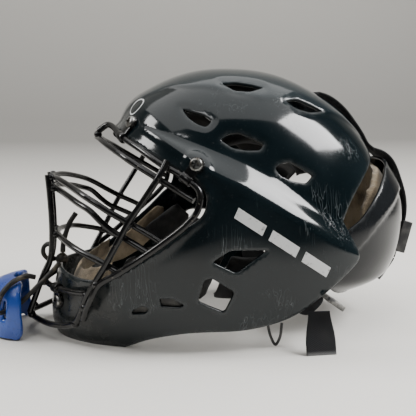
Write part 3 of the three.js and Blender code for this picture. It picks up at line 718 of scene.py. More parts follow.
def shellPoints(phi, alpha, lift=0.0, details=True):
    n = squareness(phi)
    across = np.sin(alpha) / outlineRadius(phi)
    sideways = np.abs(np.cos(alpha)) / shellForm["halfWidth"]
    r = (across ** n + sideways ** n) ** (-1 / n)
    x = cx + r * np.sin(alpha) * np.cos(phi)
    z = cz + r * np.sin(alpha) * np.sin(phi)
    y = -r * np.cos(alpha) * earFactor(x, z)
    points = np.stack([x, y, z], -1)
    away = points - np.array([cx, 0, cz])
    away /= np.linalg.norm(away, axis=-1)[..., None]
    height = detailHeight(x, y, z) if details else 0.0
    return points + away * np.asarray(height + lift)[..., None]


def fromDisc(disc, details=True):
    return shellPoints(
        np.arctan2(disc[:, 1], disc[:, 0]), np.maximum(np.hypot(disc[:, 0], disc[:, 1]), 1e-6), 0.0, details
    )


def toDisc(x, z):
    x, z = np.asarray(x, float), np.asarray(z, float)
    phi = np.arctan2(z - cz, x - cx)
    rho = np.hypot(x - cx, z - cz)
    q = rho / outlineRadius(phi)
    n = squareness(phi)
    half = shellForm["halfWidth"] * np.maximum(1 - np.minimum(q, 1) ** n, 0) ** (1 / n)
    alpha = np.where(q < 1, np.arctan2(rho, half), math.pi / 2 + (q - 1))
    return np.stack([alpha * np.cos(phi), alpha * np.sin(phi)], -1)


def discNormals(mapping, disc, step=2e-3):
    ds = mapping(disc + [step, 0]) - mapping(disc - [step, 0])
    dt = mapping(disc + [0, step]) - mapping(disc - [0, step])
    normals = np.cross(ds, dt)
    return normals / np.maximum(np.linalg.norm(normals, axis=1)[:, None], 1e-12)


def insideLoop(points, loop):
    x, y = points[:, 0], points[:, 1]
    inside = np.zeros(len(points), bool)
    a = np.asarray(loop)
    for (x0, y0), (x1, y1) in zip(a, np.roll(a, -1, 0)):
        crosses = (y0 > y) != (y1 > y)
        at = (x1 - x0) * (y - y0) / (y1 - y0 + 1e-18) + x0
        inside ^= crosses & (x < at)
    return inside


def triangulate(loops, openLines, grid, low, high, keep):
    # constrained triangles between loops, over an even grid
    verts, edges = [], []
    for line, closed in [(q, True) for q in loops] + [(q, False) for q in openLines]:
        start = len(verts)
        verts += [tuple(p) for p in line]
        edges += [(start + i, start + i + 1) for i in range(len(line) - 1)]
        if closed:
            edges.append((start + len(line) - 1, start))
    borders = kdtree.KDTree(len(verts))
    for i, v in enumerate(verts):
        borders.insert((v[0], v[1], 0), i)
    borders.balance()
    rows = []
    for row, t in enumerate(np.arange(low[1], high[1], grid * 0.866)):
        across = np.arange(low[0] + (grid / 2 if row % 2 else 0), high[0], grid)
        rows.append(np.stack([across, np.full(len(across), t)], -1))
    rows = np.concatenate(rows)
    for s, t in rows[keep(rows)]:
        if borders.find((s, t, 0))[2] > grid * 0.55:
            verts.append((s, t))
    result = geometry.delaunay_2d_cdt([Vector(v) for v in verts], edges, [], 0, 1e-7, False)
    points = np.array([(v.x, v.y) for v in result[0]])
    faces = np.array([f for f in result[2] if len(f) == 3])
    centres = points[faces].mean(1)
    area = np.cross(points[faces[:, 1]] - points[faces[:, 0]], points[faces[:, 2]] - points[faces[:, 0]])
    faces = faces[keep(centres) & (np.abs(area) > 1e-10)]
    area = np.cross(points[faces[:, 1]] - points[faces[:, 0]], points[faces[:, 2]] - points[faces[:, 0]])
    faces[area < 0] = faces[area < 0][:, ::-1]
    used = np.unique(faces)
    renumber = -np.ones(len(points), int)
    renumber[used] = np.arange(len(used))
    return points[used], renumber[faces]


def thickShell(verts, normals, faces, wall, bulge, rimSteps=5):
    # outer skin, inner skin, and a rounded rim along every free edge
    count = len(verts)
    inner = verts - normals * wall
    edges = {}
    for a, b, c in faces:
        for i, j in ((a, b), (b, c), (c, a)):
            edges[(i, j)] = edges.get((i, j), 0) + 1
    free = [(i, j) for (i, j) in edges if (j, i) not in edges]
    outward = np.zeros((count, 3))
    for i, j in free:
        along = verts[j] - verts[i]
        for k in (i, j):
            outward[k] += np.cross(along, normals[k])
    rim = sorted({k for e in free for k in e})
    size = np.linalg.norm(outward[rim], axis=1)
    outward[rim] /= np.maximum(size[:, None], 1e-9)
    allVerts = [verts, inner]
    order = {k: n for n, k in enumerate(rim)}
    rings = [dict((k, k) for k in rim)]
    start = 2 * count
    for step in range(1, rimSteps):
        angle = math.pi * step / rimSteps
        middle = verts[rim] - normals[rim] * wall / 2
        ring = middle + normals[rim] * (wall / 2) * math.cos(angle) + outward[rim] * bulge * math.sin(angle)
        allVerts.append(ring)
        rings.append({k: start + order[k] for k in rim})
        start += len(rim)
    rings.append({k: count + k for k in rim})
    out = [tuple(f) for f in faces] + [(count + c, count + b, count + a) for a, b, c in faces]
    for i, j in free:
        for near, far in zip(rings[:-1], rings[1:]):
            out.append((near[j], near[i], far[i], far[j]))
    return np.concatenate(allVerts), out, rim


def outwards(verts, normals, faces):
    # turns normals and triangles away from the shell's middle
    if ((verts - [cx, 0, cz]) * normals).sum(1).mean() < 0:
        return -normals, faces[:, ::-1]
    return normals, faces


def rimWearAndSheen(verts, rim, solid, reach):
    # 1 at a free edge, fading out over the reach; the glossy shells use it for edge wear and a painted rim
    # highlight
    near = kdtree.KDTree(len(rim))
    for i, k in enumerate(rim):
        near.insert(verts[k], i)
    near.balance()
    return [max(0, 1 - near.find(v)[2] / reach) ** 1.5 for v in solid]


def shellDisc():
    around = np.linspace(0, 2 * math.pi, 420, endpoint=False)
    circle = [(math.pi / 2 * math.cos(a), math.pi / 2 * math.sin(a)) for a in around]
    faceBorder = toDisc(*np.array(faceLine).T)
    facePolygon = np.concatenate([faceBorder, toDisc([-170, -200, -200, -120], [60, 60, 200, 215])])
    rearLine = throughPoints(rearEdge, 44)
    jawLine = throughPoints(jawEdge, 130)
    bottom = throughPoints([(-82, 0), (-110, 0), (-141, 0), (-150, 0)], 40)
    under = np.concatenate([rearLine, jawLine, bottom])
    underBorder = toDisc(under[:, 0], under[:, 1])
    underPolygon = np.concatenate(
        [underBorder, toDisc([-160, -100, 0, 120, 190, 190], [-60, -110, -130, -100, 0, 155])]
    )
    holes = [toDisc(*np.array(line[:-1]).T) for line in ventLines + cheekLines + pocketLines]

    def keep(points):
        kept = np.hypot(points[:, 0], points[:, 1]) < math.pi / 2 - 1e-6
        kept &= ~insideLoop(points, facePolygon) & ~insideLoop(points, underPolygon)
        for hole in holes:
            kept &= ~insideLoop(points, hole)
        return kept

    top = math.pi / 2
    loops = [circle] + [list(map(tuple, h)) for h in holes]
    borders = [list(map(tuple, faceBorder)), list(map(tuple, underBorder))]
    return triangulate(loops, borders, shellForm["grid"], (-top, -top), (top, top), keep)


def makeShell():
    disc, faces = shellDisc()
    verts = fromDisc(disc)
    normals, faces = outwards(verts, discNormals(fromDisc, disc), faces)
    middle = np.abs(verts[:, 1]) < 0.02
    verts[middle, 1] = 0
    normals[middle, 1] = 0
    normals /= np.linalg.norm(normals, axis=1)[:, None]
    count = len(verts)
    twin = np.arange(count)
    others = np.where(~middle)[0]
    twin[others] = count + np.arange(len(others))
    verts = np.concatenate([verts, verts[others] * [1, -1, 1]])
    normals = np.concatenate([normals, normals[others] * [1, -1, 1]])
    faces = np.concatenate([faces, twin[faces][:, ::-1]])
    solid, solidFaces, rim = thickShell(verts, normals, faces, shellForm["wall"], shellForm["rimBulge"])
    piece = newPiece("shellBody", [place(v) for v in solid], solidFaces, "shell")
    setAttribute(piece, "wearAndSheen", rimWearAndSheen(verts, rim, solid, 3.2))
    x, y, z = solid.T
    setAttribute(piece, "band", bandShare(x, y, z))
    chin = smoothStep((-78 - x) / 22) * smoothStep((62 - z) / 14)
    setAttribute(piece, "scuff", np.clip(chin + 0.25 * smoothStep((30 - z) / 22), 0, 1))
    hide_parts("main_shell")
    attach(piece, "helmet")
    return piece


shellBody = makeShell()
print("shell made", len(shellBody.data.polygons))


def shellPoint(x, z, side=-1, lift=0.0):
    # a point on the outer skin and its outward direction, given the side view position
    disc = toDisc([x], [z])
    point = fromDisc(disc)[0]
    normal = discNormals(fromDisc, disc)[0]
    if (point - np.array([cx, 0, cz])) @ normal < 0:
        normal = -normal
    point = point + normal * lift
    turn = np.array([1, -side, 1])
    return point * turn, normal * turn


# cage
cage = {"wire": 5.2, "weld": 3.5, "step": 2.0}
browHalf = [
    (-29, -107, 126.5), (-39.5, -100, 132.8), (-56.5, -91.5, 143.3), (-75.2, -79, 155), (-83.4, -66, 160.6),
    (-91.4, -47, 165.4), (-97.2, -25, 169.5), (-100, 0, 170.8)
]
eyeHalf = [
    (-54, -99.5, 94), (-62, -94.5, 99), (-78, -86, 107.6), (-92, -83, 115.6), (-102, -79, 122),
    (-110, -73, 126.6), (-124.6, -46, 133.6), (-133, -27, 136.5), (-138, -12, 137), (-140, 0, 137)
]
middleHalf = [
    (-62, -96.5, 84.5), (-70, -91.5, 89), (-81, -84, 95), (-89.5, -80, 99.5), (-97.8, -78, 106.5),
    (-107, -73, 115.5), (-117, -60, 120.5), (-124, -46, 123.8), (-131, -28, 126.3), (-136, -14, 127.5),
    (-138.5, 0, 128)
]
mouthHalf = [
    (-85, -87, 67.5), (-97, -79, 73.8), (-113, -65, 79.8), (-124.3, -49, 84), (-134, -22, 86.8),
    (-137, 0, 87.5)
]
chinTopHalf = [
    (-111.5, -70, 47.8), (-120, -61, 46.5), (-132, -45, 45.2), (-143, -24, 44.2), (-148.8, 0, 43.7)
]
chinBottomHalf = [
    (-121.8, -60.9, 19.7), (-127.4, -54, 16.4), (-137.9, -44, 14.3), (-146.4, -34, 13.5),
    (-155.2, -20, 13.4), (-161.4, -8, 13.9), (-163.5, 0, 14.2)
]
sideBar = [
    (-48, -96, 156), (-55.6, -98.5, 142.6), (-66, -96, 126.4), (-78, -92, 108), (-88.3, -88.5, 88.8),
    (-97.4, -84.5, 71.4), (-111.3, -76, 46.5), (-117.7, -67.5, 28.7), (-121.4, -61.5, 20.5)
]
frameWire = [
    (-99, -10, 176.5), (-91, -12, 182), (-87, -19, 181), (-79.5, -45, 172.5), (-66.5, -70, 163.5),
    (-53.5, -88, 154), (-34, -106, 142.5), (-25.5, -112.5, 133), (-27, -113.5, 120), (-36, -112, 108.5),
    (-52, -107.5, 95), (-71, -101, 80.5), (-86, -93, 69), (-102, -83.5, 57.5), (-108, -81.5, 46),
    (-112, -76.5, 36), (-114.5, -72.5, 27)
]
upright = [
    (-143, -15, 139.5), (-141.8, -15, 122), (-141, -15, 88), (-143.5, -15, 64), (-152.5, -15, 44),
    (-162.5, -15, 18)
]


def wirePath(points):
    return throughPoints(points, max(16, int(pathLength(points) / cage["step"])))


def weldLump(point, radius):
    bpy.ops.mesh.primitive_ico_sphere_add(subdivisions=3, radius=radius * mm, location=place(point))
    lump = bpy.context.object
    bpy.ops.object.transform_apply(location=True, rotation=True, scale=True)
    for polygon in lump.data.polygons:
        polygon.use_smooth = True
    return lump


def makeCage():
    lines = {}
    crossing = {
        "cage_brow_bar": browHalf, "cage_eye_bar": eyeHalf, "cage_middle_bar": middleHalf,
        "cage_mouth_bar": mouthHalf, "cage_chin_top_bar": chinTopHalf,
        "cage_chin_bottom_bar": chinBottomHalf,
    }
    for name, half in crossing.items():
        lines[name] = wirePath(half + [(x, -y, z) for x, y, z in half[-2::-1]])
    for label, side in sides.items():
        for name, path in (
            ("cage_side_bar", sideBar), ("cage_frame", frameWire), ("cage_nose_bar", upright)
        ):
            lines[f"{name}_{label}"] = wirePath(mirrored(path, side))
    names = list(lines)
    # a weld wherever two wires pass within touch of each other
    welds = {name: [] for name in names}
    for i, first in enumerate(names):
        for second in names[i + 1:]:
            gaps = np.linalg.norm(lines[first][:, None] - lines[second][None], axis=2)
            while gaps.min() < 6.2:
                a, b = np.unravel_index(gaps.argmin(), gaps.shape)
                welds[first].append((lines[first][a] + lines[second][b]) / 2)
                gaps[max(a - 9, 0):a + 10, :] = 99
    for name, line in lines.items():
        tube = makeTube(name.replace("cage_", "wire_"), line, cage["wire"], "wire")
        lumps = [weldLump(p, cage["weld"]) for p in welds[name]]
        piece = joinPieces([tube] + lumps, name.replace("cage_", "wire_"))
        dress(piece, "wire")
        piece.data.polygons.foreach_set("material_index", [0] * len(piece.data.polygons))
        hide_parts(name)
        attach(piece, "helmet")
    return lines


cageLines = makeCage()
print("cage made")


# clips, screws and nuts
fixing = {
    "disc": 12.0, "discHeight": 2.6, "tongue": 9.0, "plate": 1.8, "head": 10.5, "headHeight": 3.2,
    "recess": 1.7
}
clipPlaces = {
    "forehead": {"x": -70.5, "z": 184.0, "wire": "cage_frame"},
    "temple": {"x": -25.7, "z": 153.0, "wire": "cage_frame"},
    "chin": {"x": -134.4, "z": 33.0, "wire": "cage_chin_top_bar"},
}


def facing(normal, along=(0, 0, 1)):
    z = Vector(normal).normalized()
    x = (Vector(along) - z * Vector(along).dot(z)).normalized()
    y = z.cross(x)
    return Matrix((x, y, z)).transposed().to_4x4()


def makeScrewTemplate():
    # a pan head: flat cylinder with its top edge rounded over, and a cross recess
    bpy.ops.mesh.primitive_cylinder_add(
        vertices=48, radius=fixing["head"] / 2 * mm, depth=fixing["headHeight"] * mm
    )
    head = bpy.context.object
    bpy.ops.object.mode_set(mode='EDIT')
    bpy.ops.mesh.select_all(action='DESELECT')
    bpy.ops.object.mode_set(mode='OBJECT')
    top = fixing["headHeight"] / 2 * mm * 0.9
    for edge in head.data.edges:
        edge.select = all(head.data.vertices[v].co.z > top for v in edge.vertices)
    bpy.ops.object.mode_set(mode='EDIT')
    bpy.ops.mesh.bevel(offset=2.0 * mm, segments=6, affect='EDGES')
    bpy.ops.object.mode_set(mode='OBJECT')
    for turn in (0, math.pi / 2):
        bpy.ops.mesh.primitive_cube_add(size=1, location=(0, 0, top), rotation=(0, 0, turn))
        cutter = bpy.context.object
        cutter.scale = (6.2 * mm, 1.6 * mm, fixing["recess"] * 2 * mm)
        bpy.ops.object.transform_apply(location=True, rotation=True, scale=True)
        cutWith(head, cutter)
    only(head)
    bpy.ops.object.shade_smooth_by_angle(angle=math.radians(35))
    return head


def boxBetween(start, end, width, thickness, normal):
    middle = (np.asarray(start) + np.asarray(end)) / 2
    along = np.asarray(end) - np.asarray(start)
    bpy.ops.mesh.primitive_cube_add(size=1)
    box = bpy.context.object
    box.scale = (np.linalg.norm(along) * mm, width * mm, thickness * mm)
    bpy.ops.object.transform_apply(location=False, rotation=False, scale=True)
    x = Vector(along).normalized()
    z = (Vector(normal) - x * Vector(normal).dot(x)).normalized()
    box.matrix_world = Matrix.Translation(place(middle)) @ Matrix((x, z.cross(x), z)).transposed().to_4x4()
    bake(box)
    return box


def makeFixings():
    template = makeScrewTemplate()
    for label, side in sides.items():
        for spot, at in clipPlaces.items():
            point, normal = shellPoint(at["x"], at["z"], side)
            wire = cageLines[f"{at['wire']}_{label}" if at["wire"] == "cage_frame" else at["wire"]]
            onSide = wire[wire[:, 1] * side > 0]
            nearest = int(np.linalg.norm(onSide - point, axis=1).argmin())
            nearest = min(max(nearest, 2), len(onSide) - 3)
            along = onSide[nearest + 2] - onSide[nearest - 2]
            bpy.ops.mesh.primitive_cylinder_add(
                vertices=40, radius=fixing["disc"] / 2 * mm, depth=fixing["discHeight"] * mm
            )
            disc = bpy.context.object
            disc.matrix_world = Matrix.Translation(place(point + normal * 0.5)) @ facing(normal)
            bake(disc)
            bpy.ops.mesh.primitive_cylinder_add(
                vertices=32, radius=(cage["wire"] / 2 + fixing["plate"]) * mm, depth=fixing["tongue"] * mm
            )
            sleeve = bpy.context.object
            sleeve.matrix_world = Matrix.Translation(place(onSide[nearest])) @ facing(along, normal)
            bake(sleeve)
            tongue = boxBetween(
                point + normal * 1.6, onSide[nearest] + normal * 1.2, fixing["tongue"], fixing["plate"],
                normal
            )
            clip = joinPieces([disc, sleeve, tongue], f"clip_{spot}_{label}")
            bevelEdges(clip, 0.5)
            dress(clip, "wire", smooth=False)
            bpy.ops.object.shade_smooth_by_angle(angle=math.radians(40))
            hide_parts(f"{spot}_clip_{label}")
            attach(clip, "helmet")

            screw = template.copy()
            screw.data = template.data.copy()
            screw.name = f"screw_{spot}_{label}"
            bpy.context.scene.collection.objects.link(screw)
            seat = place(point + normal * 3.4)
            screw.matrix_world = Matrix.Translation(seat) @ facing(normal, (0.4, 0, 1))
            bake(screw)
            dress(screw, "steel", smooth=False)
            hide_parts(f"{spot}_screw_{label}")
            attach(screw, "helmet")
            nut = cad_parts[f"{spot}_nut_{label}"]
            nut.data.materials.clear()
            nut.data.materials.append(looks["steel"])
    bpy.data.objects.remove(template)


makeFixings()
print("fixings made")


# back plate
backPlate = {
    "x": 95.0, "rx": 87.0, "ry": 90.0, "reach": 92.0, "bottom": 28.0, "band": 25.0, "raise": 2.5,
    "wall": 3.5,
    "slot": (88.0, 4.5, 12.0), "pinHole": (-44.0, 12.0, 2.2), "grid": 3.2,
}
plateScale = [
    (26, .46), (32, .56), (38, .7), (46, .84), (58, .92), (76, .98), (104, 1), (125, .95), (143, .84),
    (152, .77)
]
plateTop = [(0, 92), (.2, 104), (.4, 122), (.55, 133), (.75, 144), (1, 151)]


plateScaleLine = throughPoints(plateScale, 90)


def plateTopAt(u):
    return lineAt(plateTop, np.cos(u / backPlate["ry"]))


def fromPlate(flat):
    u, z = flat[:, 0] / backPlate["ry"], flat[:, 1]
    scale = lineAt(plateScaleLine, z)
    lift = backPlate["raise"] * smoothStep((z - plateTopAt(flat[:, 0]) + backPlate["band"]) / 3)
    return np.stack([
        backPlate["x"] + (backPlate["rx"] * scale + lift) * np.cos(u),
        (backPlate["ry"] * scale + lift) * np.sin(u), z,
    ], -1)


def slabFrom(name, outline, holes, mapping, grid, wall, bulge, look, cadNode):
    low, high = np.min(outline, 0), np.max(outline, 0)

    def keep(points):
        kept = insideLoop(points, outline)
        for hole in holes:
            kept &= ~insideLoop(points, hole)
        return kept

    flat, faces = triangulate([outline] + holes, [], grid, low, high, keep)
    verts = mapping(flat)
    normals = discNormals(mapping, flat, 0.2)
    solid, solidFaces, rim = thickShell(verts, normals, faces, wall, bulge)
    piece = newPiece(name, [place(v) for v in solid], solidFaces, look)
    setAttribute(piece, "wearAndSheen", rimWearAndSheen(verts, rim, solid, 3.5))
    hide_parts(cadNode)
    return piece, solid


def ellipse(centre, rx, ry, count=28, square=1.0):
    return [
        (centre[0] + rx * abs(math.cos(a)) ** square * math.copysign(1, math.cos(a)),
         centre[1] + ry * abs(math.sin(a)) ** square * math.copysign(1, math.sin(a)))
        for a in np.linspace(0, 2 * math.pi, count, endpoint=False)
    ]


def makeBackPlate():
    reach = math.radians(backPlate["reach"]) * backPlate["ry"]
    top = [(u, float(plateTopAt(u))) for u in np.linspace(reach, -reach, 74)]
    bottom = [
        (u, backPlate["bottom"] + 16 * (abs(u) / reach) ** 6) for u in np.linspace(-reach + 2, reach - 2, 74)
    ]
    z, rx, ry = backPlate["slot"]
    u, drop, radius = backPlate["pinHole"]
    slot = ellipse((0, z), rx, ry, 32, 0.8)
    pin = ellipse((u, float(plateTopAt(u)) - drop), radius, radius, 14)
    plate, solid = slabFrom(
        "rearPlate", top + bottom, [slot, pin], fromPlate, backPlate["grid"], backPlate["wall"], 1.0,
        "plate", "back_plate"
    )
    setAttribute(plate, "band", np.zeros(len(solid)))
    setAttribute(plate, "scuff", 0.2 * smoothStep((60 - solid[:, 2]) / 30))
    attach(plate, "back_plate")


makeBackPlate()
print("back plate made")


# throat guard
guard = {
    "x": -158.0, "rx": 42.0, "ry": 40.0, "reach": 76.0, "wall": 6.0, "slotAt": 55.2, "slotHalf": 4.2,
    "slotZ": (15.5, 36.5), "grid": 2.2
}
guardSection = [(1, 1.8), (1.02, 14), (1, 30), (.95, 38), (.83, 44.5), (.62, 48), (.45, 49)]
guardCurve = throughPoints([(guard["ry"] * a, z) for a, z in guardSection], 80)
guardRun = runLengths(guardCurve)


def fromGuard(flat):
    scale = np.interp(flat[:, 1], guardRun, guardCurve[:, 0]) / guard["ry"]
    z = np.interp(flat[:, 1], guardRun, guardCurve[:, 1])
    a = math.pi + flat[:, 0] / guard["ry"]
    ridge = 0.8 * np.exp(-((np.abs(flat[:, 0]) - math.radians(guard["slotAt"]) * guard["ry"]) / 9) ** 4)
    points = [
        guard["x"] + (guard["rx"] * scale + ridge) * np.cos(a), (guard["ry"] * scale + ridge) * np.sin(a), z
    ]
    return np.stack(points, -1)


def makeGuard():
    reach = math.radians(guard["reach"]) * guard["ry"] - 2
    top = guardRun[-1]
    edge = [
        (-reach, 3), (-reach, 20), (-reach + 1, 36), (-reach + 6, top - 8), (-reach + 16, top - 2),
        (-reach + 28, top)
    ]
    outline = edge + [(-u, v) for u, v in edge[::-1]] + [(reach - 3, 0), (0, 0), (-reach + 3, 0)]
    outline = [tuple(q) for q in throughPoints(outline, 150, closed=True)]
    low, high = (np.interp(z, guardCurve[:, 1], guardRun) for z in guard["slotZ"])
    holes = []
    for side in (-1, 1):
        at = side * math.radians(guard["slotAt"]) * guard["ry"]
        holes.append(ellipse((at, (low + high) / 2), guard["slotHalf"], (high - low) / 2, 32, 0.55))
    piece, _ = slabFrom(
        "throatGuard", outline, holes, fromGuard, guard["grid"], guard["wall"], 2.6, "guard", "throat_guard"
    )
    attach(piece, "throat_guard")


makeGuard()
print("guard made")


# pads
padding = {"voxel": 4.5, "shrink": 1.6, "pressure": 4.0, "cap": 2.6, "frames": 20}


def puffPad(cadNode, name, look, body="helmet"):
    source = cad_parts[cadNode]
    pad = source.copy()
    pad.data = source.data.copy()
    pad.name = name
    pad.parent = None
    pad.matrix_world = Matrix.Identity(4)
    bpy.context.scene.collection.objects.link(pad)
    pad.hide_render = False
    remesh = pad.modifiers.new("even", 'REMESH')
    remesh.mode = 'VOXEL'
    remesh.voxel_size = padding["voxel"] * mm
    applyAll(pad)
    smaller = pad.modifiers.new("smaller", 'DISPLACE')
    smaller.strength = -padding["shrink"] * mm
    smaller.mid_level = 0
    soften = pad.modifiers.new("soften", 'SMOOTH')
    soften.iterations = 3
    applyAll(pad)
    start = np.array([v.co for v in pad.data.vertices])
    cloth = pad.modifiers.new("cloth", 'CLOTH')
    cloth.settings.use_pressure = True
    cloth.settings.uniform_pressure_force = padding["pressure"]
    cloth.settings.effector_weights.gravity = 0
    cloth.point_cache.frame_start = 1
    cloth.point_cache.frame_end = padding["frames"]
    for frameNumber in range(1, padding["frames"] + 1):
        bpy.context.scene.frame_set(frameNumber)
    applyAll(pad)
    bpy.context.scene.frame_set(1)
    puffed = np.array([v.co for v in pad.data.vertices])
    move = puffed - start
    length = np.linalg.norm(move, axis=1)[:, None]
    move *= np.minimum(1, padding["cap"] * mm / np.maximum(length, 1e-9))
    pad.data.vertices.foreach_set("co", (start + move).ravel())
    finer = pad.modifiers.new("finer", 'SUBSURF')
    finer.levels = finer.render_levels = 1
    applyAll(pad)
    dress(pad, look)
    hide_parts(cadNode)
    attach(pad, body)
    return pad


def makePads():
    puffPad("brow_pad", "browPad", "foam")
    puffPad("crown_pad", "crownPad", "foam")
    for label in sides:
        puffPad(f"side_pad_{label}", f"sidePad_{label}", "foam")
        puffPad(f"cheek_pad_{label}", f"cheekPad_{label}", "foam")
        puffPad(f"jaw_pad_{label}", f"jawPad_{label}", "foam")
    puffPad("chin_pad", "chinPad", "lining")
    puffPad("back_plate_pad", "platePad", "lining", "back_plate")


def skinPatch(name, outline, grid, inset, thick, bulge, look):
    # a thin piece lying along the inside of the shell, once on each side
    outline = toDisc(*np.array(outline).T)
    low, high = outline.min(0), outline.max(0)
    flat, faces = triangulate(
        [list(map(tuple, outline))], [], grid, low, high, lambda points: insideLoop(points, outline)
    )
    verts = fromDisc(flat, False)
    normals, faces = outwards(verts, discNormals(fromDisc, flat), faces)
    solid, solidFaces, rim = thickShell(verts - normals * inset, normals, faces, thick, bulge)
    for label, side in sides.items():
        turn = np.array([1, -side, 1])
        facesHere = [f[::-1] for f in solidFaces] if side > 0 else solidFaces
        piece = newPiece(f"{name}_{label}", [place(v * turn) for v in solid], facesHere, look)
        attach(piece, "helmet")


jawLining = {"inset": 4.3, "thick": 2.2}
liningOutline = [
    (-108, 52), (-96, 53), (-84, 60), (-70, 70), (-52, 84), (-40, 93), (-33, 92), (-36, 78), (-46, 62),
    (-62, 50), (-80, 42), (-98, 40)
]


def makeJawLining():
    # stuck-on lining round the inside of each jaw, and the blanks that close the two small vents
    skinPatch(
        "jawLining", roundedLoop(liningOutline, 4)[:-1], 0.03, jawLining["inset"], jawLining["thick"], 0.9,
        "lining"
    )
    for index, line in enumerate(pocketLines):
        loop = np.array(line[:-1])
        centre = loop.mean(0)
        skinPatch(
            f"ventBlank{index + 1}", centre + (loop - centre) * 1.25, 0.02, 2.9, 1.0, 0.2, "blank"
        )


makePads()
makeJawLining()
print("pads made")


# straps
straps = {"elastic": 38.0, "elasticThick": 2.2, "webbing": 25.0, "webbingThick": 1.8}
strapLoop = [
    (99, 210.5), (108, 207.5), (117, 202), (125, 195), (133, 185.5), (141, 174.5), (147.5, 164), (152.8, 160)
]
rearStrap = [
    (154.5, 159.5), (163, 156.5), (172, 149), (181, 131), (187, 112), (187.5, 96), (182.5, 76), (177.5, 56)
]
strapEnd = [(177.3, 55.2), (170, 44), (163, 35)]


def makeBand(name, line, across, width, thickness, body, cadNode, wearEnd=False):
    # a flat band with rounded edges, swept along a line; across gives the width direction and scale at each
    # point
    line = np.asarray(line)
    tangents = np.gradient(line, axis=0)
    tangents /= np.linalg.norm(tangents, axis=1)[:, None]
    half, thin = width / 2, thickness / 2
    section = [(-half, -thin * 0.45), (-half + 0.5, -thin)]
    section += [(q, -thin) for q in np.linspace(-half + 2, half - 2, 7)]
    section += [(half - 0.5, -thin), (half, -thin * 0.45)]
    section += [(-a, -b) for a, b in section]
    verts, runs = [], []
    travelled = runLengths(line)
    for point, along, sideways, far in zip(line, tangents, across, travelled):
        scale = np.linalg.norm(sideways)
        sideways = sideways / scale
        sideways = sideways - along * (sideways @ along)
        sideways /= np.linalg.norm(sideways)
        outward = np.cross(along, sideways)
        for a, b in section:
            verts.append(place(point + sideways * a * scale + outward * b))
            runs.append((far, a))
    band = newPiece(name, verts, sweptFaces(len(line), len(section)), "webbing")
    uv = band.data.uv_layers.new(name="run")
    for loop in band.data.loops:
        uv.data[loop.index].uv = runs[loop.vertex_index]
    wearAndSheen = [max(0, 1 - (travelled[-1] - r[0]) / 3.0) if wearEnd else 0.0 for r in runs]
    setAttribute(band, "wearAndSheen", wearAndSheen)
    facesOut(band)
    bpy.ops.object.shade_smooth_by_angle(angle=math.radians(50))
    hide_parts(cadNode)
    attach(band, body)
    return band


def makeStraps():
    for name, path, body, cadNode, worn in (
        ("strapLoop", strapLoop, "helmet", "rear_strap_loop", False),
        ("strapRear", rearStrap, "back_plate", "rear_strap", False),
        ("strapEnd", strapEnd, "back_plate", "rear_strap_end", True),
    ):
        line = throughPoints([(x, 0, z) for x, z in path], max(8, int(pathLength(path) / 2)))
        waist = 1 + 0.02 * np.sin(np.linspace(0, 9, len(line)))
        makeBand(
            name, line, [np.array([0, w, 0]) for w in waist], straps["elastic"], straps["elasticThick"],
            body, cadNode, worn
        )


makeStraps()


lower = {
    "x": 73.5, "topY": 103.0, "topZ": 33.5, "length": 34.8, "lean": 15.0, "foldY": 96.0, "twist": 24.0,
    "pinch": 0.3
}
foldOutline = [(56, 47), (54.5, 39), (58.5, 31), (66, 29), (73, 33), (79, 41), (76, 50.5), (68, 49)]
triglide = {"x": 85.0, "y": 99.0, "z": 41.0, "long": 16.0, "wide": 27.0, "thick": 4.2, "tilt": 35.0}
hook = [(36, 84, 19), (38.5, 85, 8), (42.5, 86, 1.2), (46, 87, 8), (47, 88, 20)]


def slottedBox(name, size, slots, bevelWidth, at, turn, look, cadNode, body):
    # a moulded buckle: rounded block with slots cut through its thickness
    bpy.ops.mesh.primitive_cube_add(size=1)
    block = bpy.context.object
    block.name = name
    block.scale = Vector(size) * mm
    bpy.ops.object.transform_apply(location=False, rotation=False, scale=True)
    for centre, extent in slots:
        bpy.ops.mesh.primitive_cube_add(size=1, location=Vector(centre) * mm)
        cutter = bpy.context.object
        cutter.scale = Vector(extent) * mm
        bpy.ops.object.transform_apply(location=True, rotation=False, scale=True)
        cutWith(block, cutter)
    bevelEdges(block, bevelWidth, 3)
    block.matrix_world = Matrix.Translation(place(at)) @ turn
    bake(block)
    dress(block, look, smooth=False)
    bpy.ops.object.shade_smooth_by_angle(angle=math.radians(40))
    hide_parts(cadNode)
    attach(block, body)
    return block


